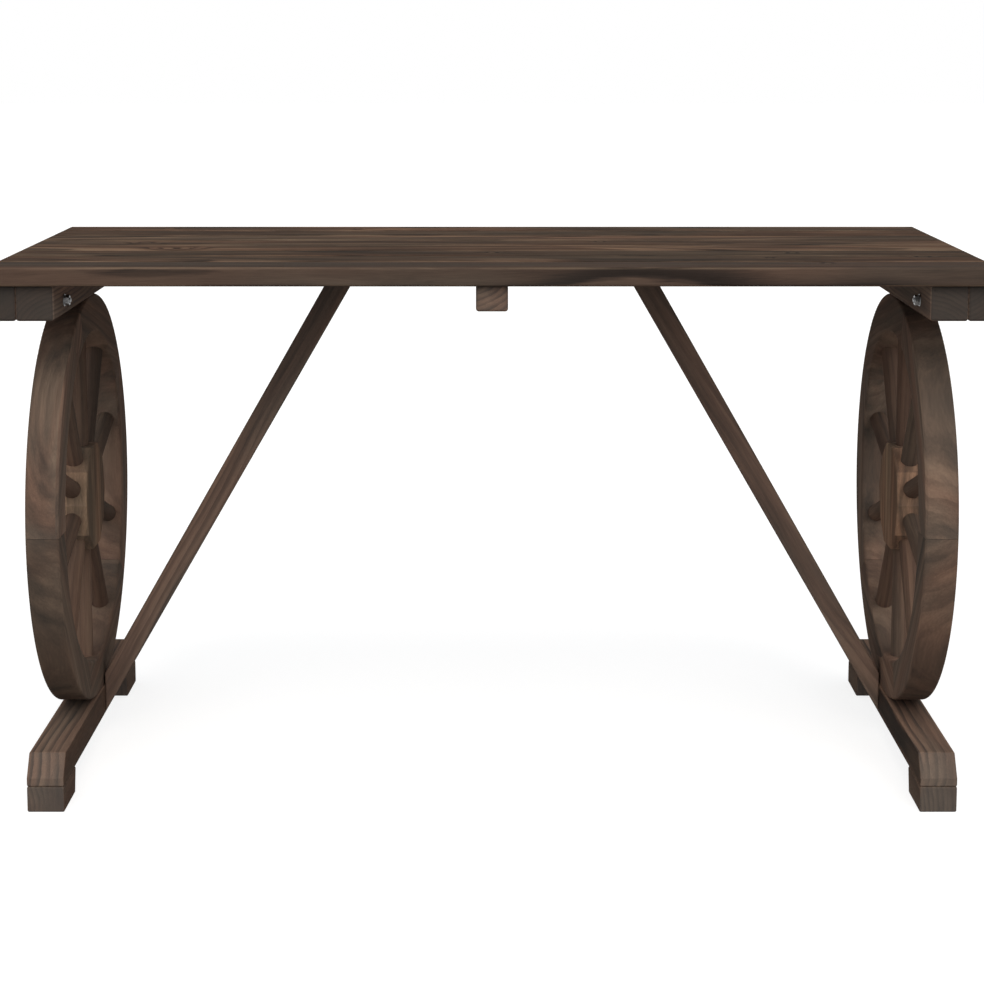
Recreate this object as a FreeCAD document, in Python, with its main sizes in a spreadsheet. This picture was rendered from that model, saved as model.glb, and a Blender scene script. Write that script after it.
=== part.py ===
"""Rustic garden table: a slatted top on two wagon wheels, which stand on footed beams, with two braces.

Frame: origin on the ground at the middle of the footprint, +X along the slats, -Y to the front, +Z up.
"""
import FreeCAD, Part
import math
import os

import Sketcher
from FreeCAD import Placement, Rotation, Vector

# Driving sizes in millimetres, with counts and one angle among them.
SIZES = {
    # Top
    "table_length": 1350,
    "slat_count": 8,
    "slat_width": 76,
    "slat_gap": 5,
    "slat_thickness": 26,
    "slat_round": 4,
    # Beams and battens under the top
    "beam_width": 51,
    "top_beam_height": 48,
    "beam_setback": 13,
    "beam_round": 4,
    "end_batten_width": 38,
    "end_batten_setback": 0.5,
    "centre_batten_width": 43,
    "centre_batten_height": 35,
    # Wheels
    "wheel_diameter": 600,
    "wheel_thickness": 46,
    "seat_flat": 1,
    "rim_width": 56,
    "rim_round": 4,
    "felloe_count": 5,
    "spokes_per_felloe_count": 2,
    "felloe_gap": 0.4,
    "spoke_diameter": 26,
    "socket_depth": 22,
    "socket_clearance": 0.15,
    "hub_width": 152,
    "hub_round": 3,
    "dowel_diameter": 12,
    "dowel_reach": 24,
    # Base beams and feet
    "base_length": 643,
    "base_beam_height": 42,
    "base_toe_height": 12,
    "base_slope_run": 23,
    "base_round": 2.5,
    "foot_height": 36,
    "foot_top_length": 93,
    "foot_bottom_length": 84,
    # Braces
    "brace_thickness": 34,
    "brace_foot_lift": 2,
    "brace_foot_height": 60,
    "brace_head_width": 39.5,
    "brace_head_reach": 187.5,
    "brace_round": 2.5,
    "brace_screw_inset": 12,
    "brace_head_wall": 20,
    "brace_screw_wall": 10,
    "brace_screw_rise": 30,
    # Bolts through the top beams and end battens
    "bolt_diameter": 8,
    "bolt_clearance": 0.3,
    "bolt_spacing": 464,
    "bolt_drop": 28,
    "bolt_head_diameter": 18,
    "bolt_head_height": 4.5,
    "bolt_head_recess": 6,
    "bolt_tip": 1.5,
    "washer_diameter": 17,
    "washer_thickness": 1.6,
    "nut_width": 13,
    "nut_height": 6.5,
    # Countersunk wood screws, and longer ones that hold the wheels
    "screw_diameter": 4.5,
    "screw_head_diameter": 9,
    "screw_clearance": 0.1,
    "screw_head_angle": 90,
    "slat_screw_pitch": 32,
    "slat_screw_grip": 16,
    "foot_screw_pitch": 44,
    "foot_screw_grip": 24,
    "brace_screw_grip": 26,
    "wheel_screw_diameter": 6,
    "wheel_screw_head_diameter": 12,
    "wheel_screw_pitch": 36,
    "wheel_screw_grip": 36,
}

doc = FreeCAD.newDocument("garden_table")
sheet = doc.addObject("Spreadsheet::Sheet", "Dims")
for row, (alias, number) in enumerate(SIZES.items(), start=1):
    sheet.set(f"A{row}", alias)
    sheet.set(f"B{row}", str(number))
    sheet.setAlias(f"B{row}", alias)
doc.recompute()

# Places that several pieces share, each worked out from the driving sizes.
TOP_DEPTH = "(Dims.slat_count * (Dims.slat_width + Dims.slat_gap) - Dims.slat_gap)"
TOP_BEAM_LENGTH = f"({TOP_DEPTH} - 2 * Dims.beam_setback)"
END_BATTEN_OUTSIDE = "(Dims.table_length / 2 - Dims.end_batten_setback)"
END_BATTEN_PLANE = f"({END_BATTEN_OUTSIDE} - Dims.end_batten_width / 2)"
BEAM_OUTSIDE = f"({END_BATTEN_OUTSIDE} - Dims.end_batten_width)"
BEAM_PLANE = f"({BEAM_OUTSIDE} - Dims.beam_width / 2)"
BEAM_INSIDE = f"({BEAM_OUTSIDE} - Dims.beam_width)"
WHEEL_SEAT = "(Dims.foot_height + Dims.base_beam_height)"
WHEEL_RADIUS = "(Dims.wheel_diameter / 2)"
WHEEL_AXIS = f"({WHEEL_SEAT} + {WHEEL_RADIUS} - Dims.seat_flat)"
WHEEL_TOP = f"({WHEEL_SEAT} + Dims.wheel_diameter - 2 * Dims.seat_flat)"
SLAT_UNDERSIDE = f"({WHEEL_TOP} + Dims.top_beam_height)"
RIM_INNER = f"({WHEEL_RADIUS} - Dims.rim_width)"
RIM_MIDDLE = f"({WHEEL_RADIUS} - Dims.rim_width / 2)"
HUB_APOTHEM = "(Dims.hub_width / 2)"
BOLT_HEIGHT = "(Dims.top_beam_height - Dims.bolt_drop)"
BRACE_SCREW_PLACE = "(Dims.brace_head_reach + Dims.brace_head_width - Dims.brace_screw_inset)"
FOOT_MIDDLE = "(Dims.base_length / 2 - Dims.foot_bottom_length / 2)"
SCREW_HOLE = "(Dims.screw_diameter + 2 * Dims.screw_clearance)"
SCREW_HEAD_HOLE = "(Dims.screw_head_diameter + 2 * Dims.screw_clearance)"
WHEEL_SCREW_HOLE = "(Dims.wheel_screw_diameter + 2 * Dims.screw_clearance)"
WHEEL_SCREW_HEAD_HOLE = "(Dims.wheel_screw_head_diameter + 2 * Dims.screw_clearance)"
BOLT_HOLE = "(Dims.bolt_diameter + 2 * Dims.bolt_clearance)"
BOLT_HEAD_HOLE = "(Dims.bolt_head_diameter + 2 * Dims.bolt_clearance)"
SOCKET_DIAMETER = "(Dims.spoke_diameter + 2 * Dims.socket_clearance)"
DOWEL_HOLE = "(Dims.dowel_diameter + 2 * Dims.socket_clearance)"

SIDES = {"left": -1, "right": 1}
ENDS = {"front": -1, "rear": 1}

# A direction counts as square to another below this share of its length.
SQUARE_SHARE = 1e-6

# Fasteners are drawn pointing down, so one that is driven from below is turned over.
FROM_BELOW = Vector(0, 0, -1)

# A wheel is drawn lying down: its first axis turns upwards, its second to the front and its third along +X.
STANDING = Rotation(Vector(0, 0, 1), Vector(0, -1, 0), Vector(1, 0, 0), "XYZ")


def value(expression):
    """The length in millimetres that an expression over the sheet gives now."""
    return float(sheet.evalExpression(expression))


SLAT_COUNT = int(value("Dims.slat_count"))
FELLOE_COUNT = int(value("Dims.felloe_count"))
SPOKES_PER_FELLOE = int(value("Dims.spokes_per_felloe_count"))
SPOKE_COUNT = FELLOE_COUNT * SPOKES_PER_FELLOE
FELLOE_ANGLE = 360 / FELLOE_COUNT
SPOKE_ANGLE = 360 / SPOKE_COUNT
BRACED_SLAT = SLAT_COUNT // 2

sub_parts = []


def slat_middle(index):
    """The place across the table of a slat's middle line."""
    return f"(({index} + 1 / 2) * Dims.slat_width + {index} * Dims.slat_gap - {TOP_DEPTH} / 2)"


def slat_screw_places():
    """The place across the table of every slat screw in one row, front to rear."""
    middles = [slat_middle(index) for index in range(SLAT_COUNT)]
    return [f"({middle} + {side} * Dims.slat_screw_pitch / 2)" for middle in middles for side in (-1, 1)]


# Small helpers for sketches and features

def new_body(label):
    """An empty body that will become one sub-part."""
    body = doc.addObject("PartDesign::Body", label)
    body.Label = label
    sub_parts.append(body)
    return body


def place(piece, x="0", y="0", z="0"):
    """Ties a piece's position to the sheet."""
    for axis, expression in zip("xyz", (x, y, z)):
        piece.setExpression(f"Placement.Base.{axis}", expression)


def sketch_on(body, role, lift="0", turn=0):
    """A sketch on one of the body's own planes, turned about the plane's second axis, then lifted."""
    sketch = body.newObject("Sketcher::SketchObject", f"{body.Label}_sketch")
    plane = next(feature for feature in body.Origin.OriginFeatures if feature.Role == role)
    sketch.AttachmentSupport = [(plane, "")]
    sketch.MapMode = "FlatFace"
    rotation = Rotation(Vector(0, 1, 0), turn)
    sketch.AttachmentOffset = Placement(Vector(0, 0, 0), rotation)
    direction = rotation.multVec(Vector(0, 0, 1))
    for axis, share in zip("xyz", direction):
        sketch.setExpression(f"AttachmentOffset.Base.{axis}", f"({lift}) * {share}")
    return sketch


def tie(sketch, kind, geometry, point, expression):
    """Holds one coordinate of a sketch point at a distance from the sketch's origin."""
    rule = Sketcher.Constraint(kind, -1, 1, geometry, point, value(expression))
    index = sketch.addConstraint(rule)
    sketch.setExpression(f"Constraints[{index}]", expression)


def outline(sketch, corners):
    """A closed polygon through corners given as pairs of expressions."""
    points = [Vector(value(x), value(y), 0) for x, y in corners]
    for index, point in enumerate(points):
        following = points[(index + 1) % len(points)]
        sketch.addGeometry(Part.LineSegment(point, following), False)
    for index, (x, y) in enumerate(corners):
        before = (index - 1) % len(corners)
        sketch.addConstraint(Sketcher.Constraint("Coincident", index, 1, before, 2))
        tie(sketch, "DistanceX", index, 1, x)
        tie(sketch, "DistanceY", index, 1, y)
    return sketch


def rectangle(sketch, half_width, half_height):
    """A rectangle about the sketch's origin."""
    return outline(sketch, [
        (f"-{half_width}", f"-{half_height}"),
        (half_width, f"-{half_height}"),
        (half_width, half_height),
        (f"-{half_width}", half_height),
    ])


def circles(sketch, middles, diameter):
    """Equal circles whose middles are pairs of expressions."""
    for x, y in middles:
        middle = Vector(value(x), value(y), 0)
        index = sketch.addGeometry(Part.Circle(middle, Vector(0, 0, 1), value(diameter) / 2), False)
        tie(sketch, "DistanceX", index, 3, x)
        tie(sketch, "DistanceY", index, 3, y)
        rule = sketch.addConstraint(Sketcher.Constraint("Diameter", index, value(diameter)))
        sketch.setExpression(f"Constraints[{rule}]", diameter)
    return sketch


def feature_of(body, kind, profile):
    """A feature on a profile, which becomes the body's latest state."""
    feature = body.newObject(f"PartDesign::{kind}", f"{body.Label}_{kind.lower()}")
    feature.Profile = profile
    body.Tip = feature
    return feature


def pad(body, sketch, length, both_ways=False):
    """Wood of a given thickness on an outline."""
    feature = feature_of(body, "Pad", sketch)
    feature.setExpression("Length", length)
    feature.SideType = "Symmetric" if both_ways else "One side"
    doc.recompute()
    return feature


def pocket(body, sketch, depth=None, along_normal=False):
    """A cut from the sketch's plane, against its normal unless turned round, or right through both ways."""
    doc.recompute()
    before = body.Shape.Volume
    feature = feature_of(body, "Pocket", sketch)
    feature.Reversed = along_normal
    if depth:
        feature.setExpression("Length", depth)
    else:
        feature.Type = "ThroughAll"
        feature.SideType = "Symmetric"
    doc.recompute()
    if not body.Shape.Volume < before:
        raise ValueError(f"{body.Label}: a cut takes nothing away")
    return feature


def head_holes(body, sketch, diameter, head_diameter, cut_type, along_normal=False):
    """Through holes with a recess for the screw or bolt heads at the sketch's plane."""
    doc.recompute()
    before = body.Shape.Volume
    feature = feature_of(body, "Hole", sketch)
    feature.DepthType = "ThroughAll"
    feature.Reversed = along_normal
    feature.setExpression("Diameter", diameter)
    feature.HoleCutType = cut_type
    feature.setExpression("HoleCutDiameter", head_diameter)
    if cut_type == "Countersink":
        feature.setExpression("HoleCutCountersinkAngle", "Dims.screw_head_angle")
    else:
        feature.setExpression("HoleCutDepth", "Dims.bolt_head_recess")
    doc.recompute()
    if not body.Shape.Volume < before:
        raise ValueError(f"{body.Label}: the holes take nothing away")
    return feature


def turned_copies(body, feature, angle, count):
    """Copies of a cut, turned about the body's own upright axis."""
    pattern = body.newObject("PartDesign::PolarPattern", f"{body.Label}_pattern")
    pattern.Originals = [feature]
    axis = next(line for line in body.Origin.OriginFeatures if line.Role == "Z_Axis")
    pattern.Axis = (axis, [""])
    pattern.Angle = angle
    pattern.Occurrences = count
    body.Tip = pattern
    doc.recompute()
    return pattern


def ease(body, radius, wanted):
    """Rounds the edges that a test picks on the body as it is now."""
    base = body.Tip
    names = [f"Edge{index}" for index, edge in enumerate(base.Shape.Edges, start=1) if wanted(edge)]
    feature = body.newObject("PartDesign::Fillet", f"{body.Label}_fillet")
    feature.Base = (base, names)
    feature.setExpression("Radius", radius)
    body.Tip = feature
    doc.recompute()
    return feature


def runs_across(axis):
    """A test for edges that lie square to an axis, such as the outline of a padded board."""
    return lambda edge: abs(edge.tangentAt(edge.FirstParameter)[axis]) < SQUARE_SHARE


def every_edge(edge):
    """A test that all edges of a board pass."""
    return True


def group(label, shapes):
    """Several like solids that share one node."""
    piece = doc.addObject("Part::Feature", label)
    piece.Label = label
    piece.Shape = Part.makeCompound(shapes)
    piece.Placement = Placement()
    sub_parts.append(piece)
    return piece


# Top slats

def top_slat(index):
    """One board of the top, with blind holes below for the screws of the battens and braces."""
    slat = new_body(f"top_slat_{index + 1}")
    pad(slat, rectangle(sketch_on(slat, "XY_Plane"), "Dims.table_length / 2", "Dims.slat_width / 2"),
        "Dims.slat_thickness")
    ease(slat, "Dims.slat_round", every_edge)
    rows = [f"-{END_BATTEN_PLANE}", "0", END_BATTEN_PLANE]
    middles = [(row, f"{side} * Dims.slat_screw_pitch / 2") for row in rows for side in (-1, 1)]
    if index == BRACED_SLAT:
        middles += [(f"{side} * {BRACE_SCREW_PLACE}", "0") for side in SIDES.values()]
    pocket(slat, circles(sketch_on(slat, "XY_Plane"), middles, SCREW_HOLE),
           "Dims.slat_screw_grip + Dims.screw_clearance", along_normal=True)
    place(slat, y=slat_middle(index), z=SLAT_UNDERSIDE)


# Beams and battens under the top

def beam_blank(label, width, height):
    """A beam across the table with its edges rounded."""
    beam = new_body(label)
    pad(beam, rectangle(sketch_on(beam, "XY_Plane"), f"{width} / 2", f"{TOP_BEAM_LENGTH} / 2"), height)
    ease(beam, "Dims.beam_round", every_edge)
    return beam


def slat_screw_holes(batten):
    """Holes up through a batten for the slat screws of its row, with sunk heads."""
    middles = [("0", across) for across in slat_screw_places()]
    head_holes(batten, circles(sketch_on(batten, "XY_Plane"), middles, SCREW_HOLE), SCREW_HOLE,
               SCREW_HEAD_HOLE, "Countersink", along_normal=True)


def bolt_middles():
    """The two bolts of one end, as places across the table and above the beam's underside."""
    return [(f"{end} * Dims.bolt_spacing / 2", BOLT_HEIGHT) for end in ENDS.values()]


def wheel_screw_middles():
    """The two long screws at one seat of a wheel, on a beam's middle line."""
    return [("0", f"{end} * Dims.wheel_screw_pitch / 2") for end in ENDS.values()]


def top_beam(name, side):
    """The beam that lies on a wheel: screwed down into the rim and bolted to the end batten."""
    beam = beam_blank(f"{name}_top_beam", "Dims.beam_width", "Dims.top_beam_height")
    top_face = sketch_on(beam, "XY_Plane", "Dims.top_beam_height")
    head_holes(beam, circles(top_face, wheel_screw_middles(), WHEEL_SCREW_HOLE), WHEEL_SCREW_HOLE,
               WHEEL_SCREW_HEAD_HOLE, "Countersink")
    pocket(beam, circles(sketch_on(beam, "YZ_Plane"), bolt_middles(), BOLT_HOLE))
    place(beam, x=f"{side} * {BEAM_PLANE}", z=WHEEL_TOP)


def end_batten(name, side):
    """The batten at the slats' ends, with its bolt heads sunk into the outer face."""
    batten = beam_blank(f"{name}_end_batten", "Dims.end_batten_width", "Dims.top_beam_height")
    slat_screw_holes(batten)
    outer_face = sketch_on(batten, "YZ_Plane", f"{side} * Dims.end_batten_width / 2")
    head_holes(batten, circles(outer_face, bolt_middles(), BOLT_HOLE), BOLT_HOLE, BOLT_HEAD_HOLE,
               "Counterbore", along_normal=side < 0)
    place(batten, x=f"{side} * {END_BATTEN_PLANE}", z=WHEEL_TOP)


def centre_batten():
    """The lower batten that ties the slats together at mid length."""
    batten = beam_blank("centre_batten", "Dims.centre_batten_width", "Dims.centre_batten_height")
    slat_screw_holes(batten)
    place(batten, z=f"{SLAT_UNDERSIDE} - Dims.centre_batten_height")


# Wheels

def felloe(name, side, index):
    """One rim segment: a swept section with sockets, dowel holes and, at top or bottom, a flat seat."""
    middle_angle = SPOKE_ANGLE / 2 + FELLOE_ANGLE * (index + 1 / 2)
    rim = new_body(f"{name}_wheel_felloe_{index + 1}")
    section = outline(sketch_on(rim, "XZ_Plane"), [
        (RIM_INNER, "-Dims.wheel_thickness / 2"),
        (WHEEL_RADIUS, "-Dims.wheel_thickness / 2"),
        (WHEEL_RADIUS, "Dims.wheel_thickness / 2"),
        (RIM_INNER, "Dims.wheel_thickness / 2"),
    ])
    sweep = feature_of(rim, "Revolution", section)
    sweep.ReferenceAxis = (next(line for line in rim.Origin.OriginFeatures if line.Role == "Z_Axis"), [""])
    sweep.setExpression("Angle", f"360 / Dims.felloe_count - Dims.felloe_gap / {RIM_MIDDLE} * 180 / pi")
    sweep.Midplane = True
    doc.recompute()
    ease(rim, "Dims.rim_round", lambda edge: isinstance(edge.Curve, Part.Circle))

    first_socket = -SPOKE_ANGLE * (SPOKES_PER_FELLOE - 1) / 2
    socket = circles(sketch_on(rim, "YZ_Plane", turn=first_socket), [("0", "0")], SOCKET_DIAMETER)
    cut = pocket(rim, socket, f"{RIM_INNER} + Dims.socket_depth", along_normal=True)
    turned_copies(rim, cut, SPOKE_ANGLE * (SPOKES_PER_FELLOE - 1), SPOKES_PER_FELLOE)

    for end in (-1, 1):
        joint = sketch_on(rim, "XZ_Plane", turn=end * FELLOE_ANGLE / 2)
        pocket(rim, circles(joint, [(RIM_MIDDLE, "0")], DOWEL_HOLE),
               "Dims.dowel_reach + Dims.socket_clearance", along_normal=end > 0)

    for seat_angle in (0, 180):
        turn = (seat_angle - middle_angle + 180) % 360 - 180
        if abs(turn) < FELLOE_ANGLE / 2:
            seat_height = f"{WHEEL_RADIUS} - Dims.seat_flat"
            flat = sketch_on(rim, "YZ_Plane", seat_height, turn)
            pocket(rim, rectangle(flat, "Dims.rim_width", "Dims.wheel_thickness"), "Dims.rim_width",
                   along_normal=True)
            holes = [(across, along) for along, across in wheel_screw_middles()]
            seat = circles(sketch_on(rim, "YZ_Plane", seat_height, turn), holes, WHEEL_SCREW_HOLE)
            pocket(rim, seat, "Dims.wheel_screw_grip + Dims.screw_clearance")

    rim.Placement = Placement(Vector(0, 0, 0), STANDING * Rotation(Vector(0, 0, 1), middle_angle))
    place(rim, x=f"{side} * {BEAM_PLANE}", z=WHEEL_AXIS)


def hub(name, side):
    """A block with one flat facet and one blind socket for each spoke."""
    block = new_body(f"{name}_wheel_hub")
    corner_radius = f"{HUB_APOTHEM} / cos({SPOKE_ANGLE / 2} deg)"
    angles = [SPOKE_ANGLE * (index + 1 / 2) for index in range(SPOKE_COUNT)]
    corners = [(f"{corner_radius} * cos({angle} deg)", f"{corner_radius} * sin({angle} deg)")
               for angle in angles]
    pad(block, outline(sketch_on(block, "XY_Plane"), corners), "Dims.wheel_thickness", both_ways=True)
    ease(block, "Dims.hub_round", runs_across(2))
    socket = circles(sketch_on(block, "YZ_Plane", HUB_APOTHEM), [("0", "0")], SOCKET_DIAMETER)
    cut = pocket(block, socket, "Dims.socket_depth")
    turned_copies(block, cut, 360, SPOKE_COUNT)
    block.Placement = Placement(Vector(0, 0, 0), STANDING)
    place(block, x=f"{side} * {BEAM_PLANE}", z=WHEEL_AXIS)


def spoke(name, side, index):
    """A round spoke that sits in a hub socket and a rim socket."""
    angle = SPOKE_ANGLE * index
    inner_end = f"({HUB_APOTHEM} - Dims.socket_depth + Dims.socket_clearance)"
    outer_end = f"({RIM_INNER} + Dims.socket_depth - Dims.socket_clearance)"
    label = f"{name}_wheel_spoke_{index + 1}"
    rod = doc.addObject("Part::Cylinder", label)
    rod.Label = label
    rod.setExpression("Radius", "Dims.spoke_diameter / 2")
    rod.setExpression("Height", f"{outer_end} - {inner_end}")
    rod.Placement = Placement(Vector(0, 0, 0), Rotation(Vector(1, 0, 0), angle))
    place(rod, f"{side} * {BEAM_PLANE}", f"-{inner_end} * sin({angle} deg)",
          f"{WHEEL_AXIS} + {inner_end} * cos({angle} deg)")
    sub_parts.append(rod)


# Base beams, feet and braces

def base_beam(name, side):
    """The beam on the feet: sloped ends, with screws from below up into the wheel's rim."""
    beam = new_body(f"{name}_base_beam")
    half = "Dims.base_length / 2"
    pad(beam, outline(sketch_on(beam, "YZ_Plane"), [
        (f"-{half}", "0"),
        (half, "0"),
        (half, "Dims.base_toe_height"),
        (f"{half} - Dims.base_slope_run", "Dims.base_beam_height"),
        (f"Dims.base_slope_run - {half}", "Dims.base_beam_height"),
        (f"-{half}", "Dims.base_toe_height"),
    ]), "Dims.beam_width", both_ways=True)
    ease(beam, "Dims.base_round", every_edge)
    head_holes(beam, circles(sketch_on(beam, "XY_Plane"), wheel_screw_middles(), WHEEL_SCREW_HOLE),
               WHEEL_SCREW_HOLE, WHEEL_SCREW_HEAD_HOLE, "Countersink", along_normal=True)
    screws = [middle for end in ENDS.values() for middle in foot_screw_middles(end)]
    pocket(beam, circles(sketch_on(beam, "XY_Plane"), screws, SCREW_HOLE),
           "Dims.foot_screw_grip + Dims.screw_clearance", along_normal=True)
    inner_face = sketch_on(beam, "YZ_Plane", f"-{side} * Dims.beam_width / 2")
    brace_screw = [(slat_middle(BRACED_SLAT), "Dims.brace_foot_lift + Dims.brace_screw_rise")]
    pocket(beam, circles(inner_face, brace_screw, SCREW_HOLE),
           "Dims.brace_screw_grip + Dims.screw_clearance", along_normal=side > 0)
    place(beam, x=f"{side} * {BEAM_PLANE}", z="Dims.foot_height")


def foot_screw_middles(end):
    """The two screws of one foot, on the beam's middle line."""
    return [("0", f"{end} * {FOOT_MIDDLE} + {step} * Dims.foot_screw_pitch / 2") for step in (-1, 1)]


def foot(name, side, end_name, end):
    """A block under one end of a base beam, undercut on its inner side."""
    block = new_body(f"{name}_{end_name}_foot")
    outer = f"{end} * Dims.base_length / 2"
    pad(block, outline(sketch_on(block, "YZ_Plane"), [
        (outer, "0"),
        (outer, "Dims.foot_height"),
        (f"{outer} - {end} * Dims.foot_top_length", "Dims.foot_height"),
        (f"{outer} - {end} * Dims.foot_bottom_length", "0"),
    ]), "Dims.beam_width", both_ways=True)
    ease(block, "Dims.base_round", every_edge)
    head_holes(block, circles(sketch_on(block, "XY_Plane"), foot_screw_middles(end), SCREW_HOLE),
               SCREW_HOLE, SCREW_HEAD_HOLE, "Countersink", along_normal=True)
    place(block, x=f"{side} * {BEAM_PLANE}")


def brace(name, side):
    """A slanting bar: its upright foot bears on a base beam and its level head on a slat."""
    bar = new_body(f"{name}_brace")
    foot_low = "(Dims.foot_height + Dims.brace_foot_lift)"
    pad(bar, outline(sketch_on(bar, "XZ_Plane"), [
        (f"{side} * {BEAM_INSIDE}", foot_low),
        (f"{side} * Dims.brace_head_reach", SLAT_UNDERSIDE),
        (f"{side} * (Dims.brace_head_reach + Dims.brace_head_width)", SLAT_UNDERSIDE),
        (f"{side} * {BEAM_INSIDE}", f"{foot_low} + Dims.brace_foot_height"),
    ]), "Dims.brace_thickness", both_ways=True)
    ease(bar, "Dims.brace_round", runs_across(1))
    head_seat = f"{SLAT_UNDERSIDE} - Dims.brace_head_wall"
    head_screw = [(f"{side} * {BRACE_SCREW_PLACE}", "0")]
    pocket(bar, circles(sketch_on(bar, "XY_Plane", head_seat), head_screw, SCREW_HEAD_HOLE), SLAT_UNDERSIDE)
    head_holes(bar, circles(sketch_on(bar, "XY_Plane", head_seat), head_screw, SCREW_HOLE), SCREW_HOLE,
               SCREW_HEAD_HOLE, "Countersink", along_normal=True)
    toe_seat = f"{side} * ({BEAM_INSIDE} - Dims.brace_screw_wall)"
    toe_screw = [("0", f"{foot_low} + Dims.brace_screw_rise")]
    pocket(bar, circles(sketch_on(bar, "YZ_Plane", toe_seat), toe_screw, SCREW_HEAD_HOLE),
           "Dims.brace_head_width", along_normal=side < 0)
    head_holes(bar, circles(sketch_on(bar, "YZ_Plane", toe_seat), toe_screw, SCREW_HOLE), SCREW_HOLE,
               SCREW_HEAD_HOLE, "Countersink", along_normal=side > 0)
    place(bar, y=slat_middle(BRACED_SLAT))


# Fasteners

def turned(profile):
    """A solid of revolution about the Z axis from a wire in the XZ plane."""
    return Part.Face(profile).revolve(Vector(0, 0, 0), Vector(0, 0, 1), 360)


def at(shape, x, y, z, direction=Vector(0, 0, 1)):
    """A copy of a shape at a place, with its Z axis turned into a direction."""
    copy = shape.copy()
    copy.Placement = Placement(Vector(x, y, z), Rotation(Vector(0, 0, 1), direction))
    return copy


def screw(diameter, head_diameter, length):
    """A countersunk screw that points down, with the top of its head at the origin."""
    shank = diameter / 2
    head = head_diameter / 2
    head_depth = (head - shank) / math.tan(math.radians(value("Dims.screw_head_angle") / 2))
    corners = [(0, 0), (head, 0), (shank, -head_depth), (shank, diameter - length), (0, -length), (0, 0)]
    return turned(Part.makePolygon([Vector(radius, 0, height) for radius, height in corners]))


def wood_screw(length):
    """A screw of the small size."""
    return screw(value("Dims.screw_diameter"), value("Dims.screw_head_diameter"), length)


def slat_screws():
    """Every screw that holds a slat to a batten."""
    end_screw = wood_screw(value("Dims.top_beam_height + Dims.slat_screw_grip"))
    centre_screw = wood_screw(value("Dims.centre_batten_height + Dims.slat_screw_grip"))
    centre_seat = value(f"{SLAT_UNDERSIDE} - Dims.centre_batten_height")
    rows = [(centre_screw, 0, centre_seat)]
    rows += [(end_screw, side * value(END_BATTEN_PLANE), value(WHEEL_TOP)) for side in SIDES.values()]
    places = [value(across) for across in slat_screw_places()]
    group("slat_screws", [at(one, plane, across, seat, FROM_BELOW)
                          for one, plane, seat in rows for across in places])


def frame_screws():
    """The screws that hold the feet and both ends of the braces."""
    foot_screw = wood_screw(value("Dims.foot_height + Dims.foot_screw_grip"))
    head_screw = wood_screw(value("Dims.brace_head_wall + Dims.slat_screw_grip"))
    toe_screw = wood_screw(value("Dims.brace_screw_wall + Dims.brace_screw_grip"))
    across = value(slat_middle(BRACED_SLAT))
    head_seat = value(f"{SLAT_UNDERSIDE} - Dims.brace_head_wall")
    toe_height = value("Dims.foot_height + Dims.brace_foot_lift + Dims.brace_screw_rise")
    shapes = []
    for side in SIDES.values():
        beam_plane = side * value(BEAM_PLANE)
        for end in ENDS.values():
            for x, y in foot_screw_middles(end):
                shapes.append(at(foot_screw, beam_plane, value(y), 0, FROM_BELOW))
        shapes.append(at(head_screw, side * value(BRACE_SCREW_PLACE), across, head_seat, FROM_BELOW))
        toe = side * value(f"{BEAM_INSIDE} - Dims.brace_screw_wall")
        shapes.append(at(toe_screw, toe, across, toe_height, Vector(-side, 0, 0)))
    group("frame_screws", shapes)


def wheel_screws():
    """The long screws through the top and base beams into the rims."""
    sizes = value("Dims.wheel_screw_diameter"), value("Dims.wheel_screw_head_diameter")
    upper = screw(*sizes, value("Dims.top_beam_height + Dims.wheel_screw_grip"))
    lower = screw(*sizes, value("Dims.base_beam_height + Dims.wheel_screw_grip"))
    shapes = []
    for side in SIDES.values():
        beam_plane = side * value(BEAM_PLANE)
        for x, y in wheel_screw_middles():
            shapes.append(at(upper, beam_plane, value(y), value(SLAT_UNDERSIDE)))
            shapes.append(at(lower, beam_plane, value(y), value("Dims.foot_height"), FROM_BELOW))
    group("wheel_screws", shapes)


def carriage_bolt():
    """A domed bolt head on a plain shank; the head's seat is at the origin."""
    radius = value("Dims.bolt_diameter / 2")
    head = value("Dims.bolt_head_diameter / 2")
    height = value("Dims.bolt_head_height")
    length = value(f"{END_BATTEN_OUTSIDE} - Dims.bolt_head_recess - {BEAM_INSIDE}")
    length += value("Dims.washer_thickness + Dims.nut_height + Dims.bolt_tip")
    dome_radius = (head ** 2 + height ** 2) / (2 * height)
    half_angle = math.asin(head / dome_radius) / 2
    crown = Vector(dome_radius * math.sin(half_angle), 0, height - dome_radius * (1 - math.cos(half_angle)))
    rim, top = Vector(head, 0, 0), Vector(0, 0, height)
    straight = [top, Vector(0, 0, -length), Vector(radius, 0, -length), Vector(radius, 0, 0), rim]
    edges = [Part.LineSegment(first, second).toShape() for first, second in zip(straight, straight[1:])]
    edges.append(Part.Arc(rim, crown, top).toShape())
    return turned(Part.Wire(edges))


def washer():
    """A flat ring that stands on the origin."""
    thickness = value("Dims.washer_thickness")
    ring = Part.makeCylinder(value("Dims.washer_diameter / 2"), thickness)
    return ring.cut(Part.makeCylinder(value(f"{BOLT_HOLE} / 2"), thickness))


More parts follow.
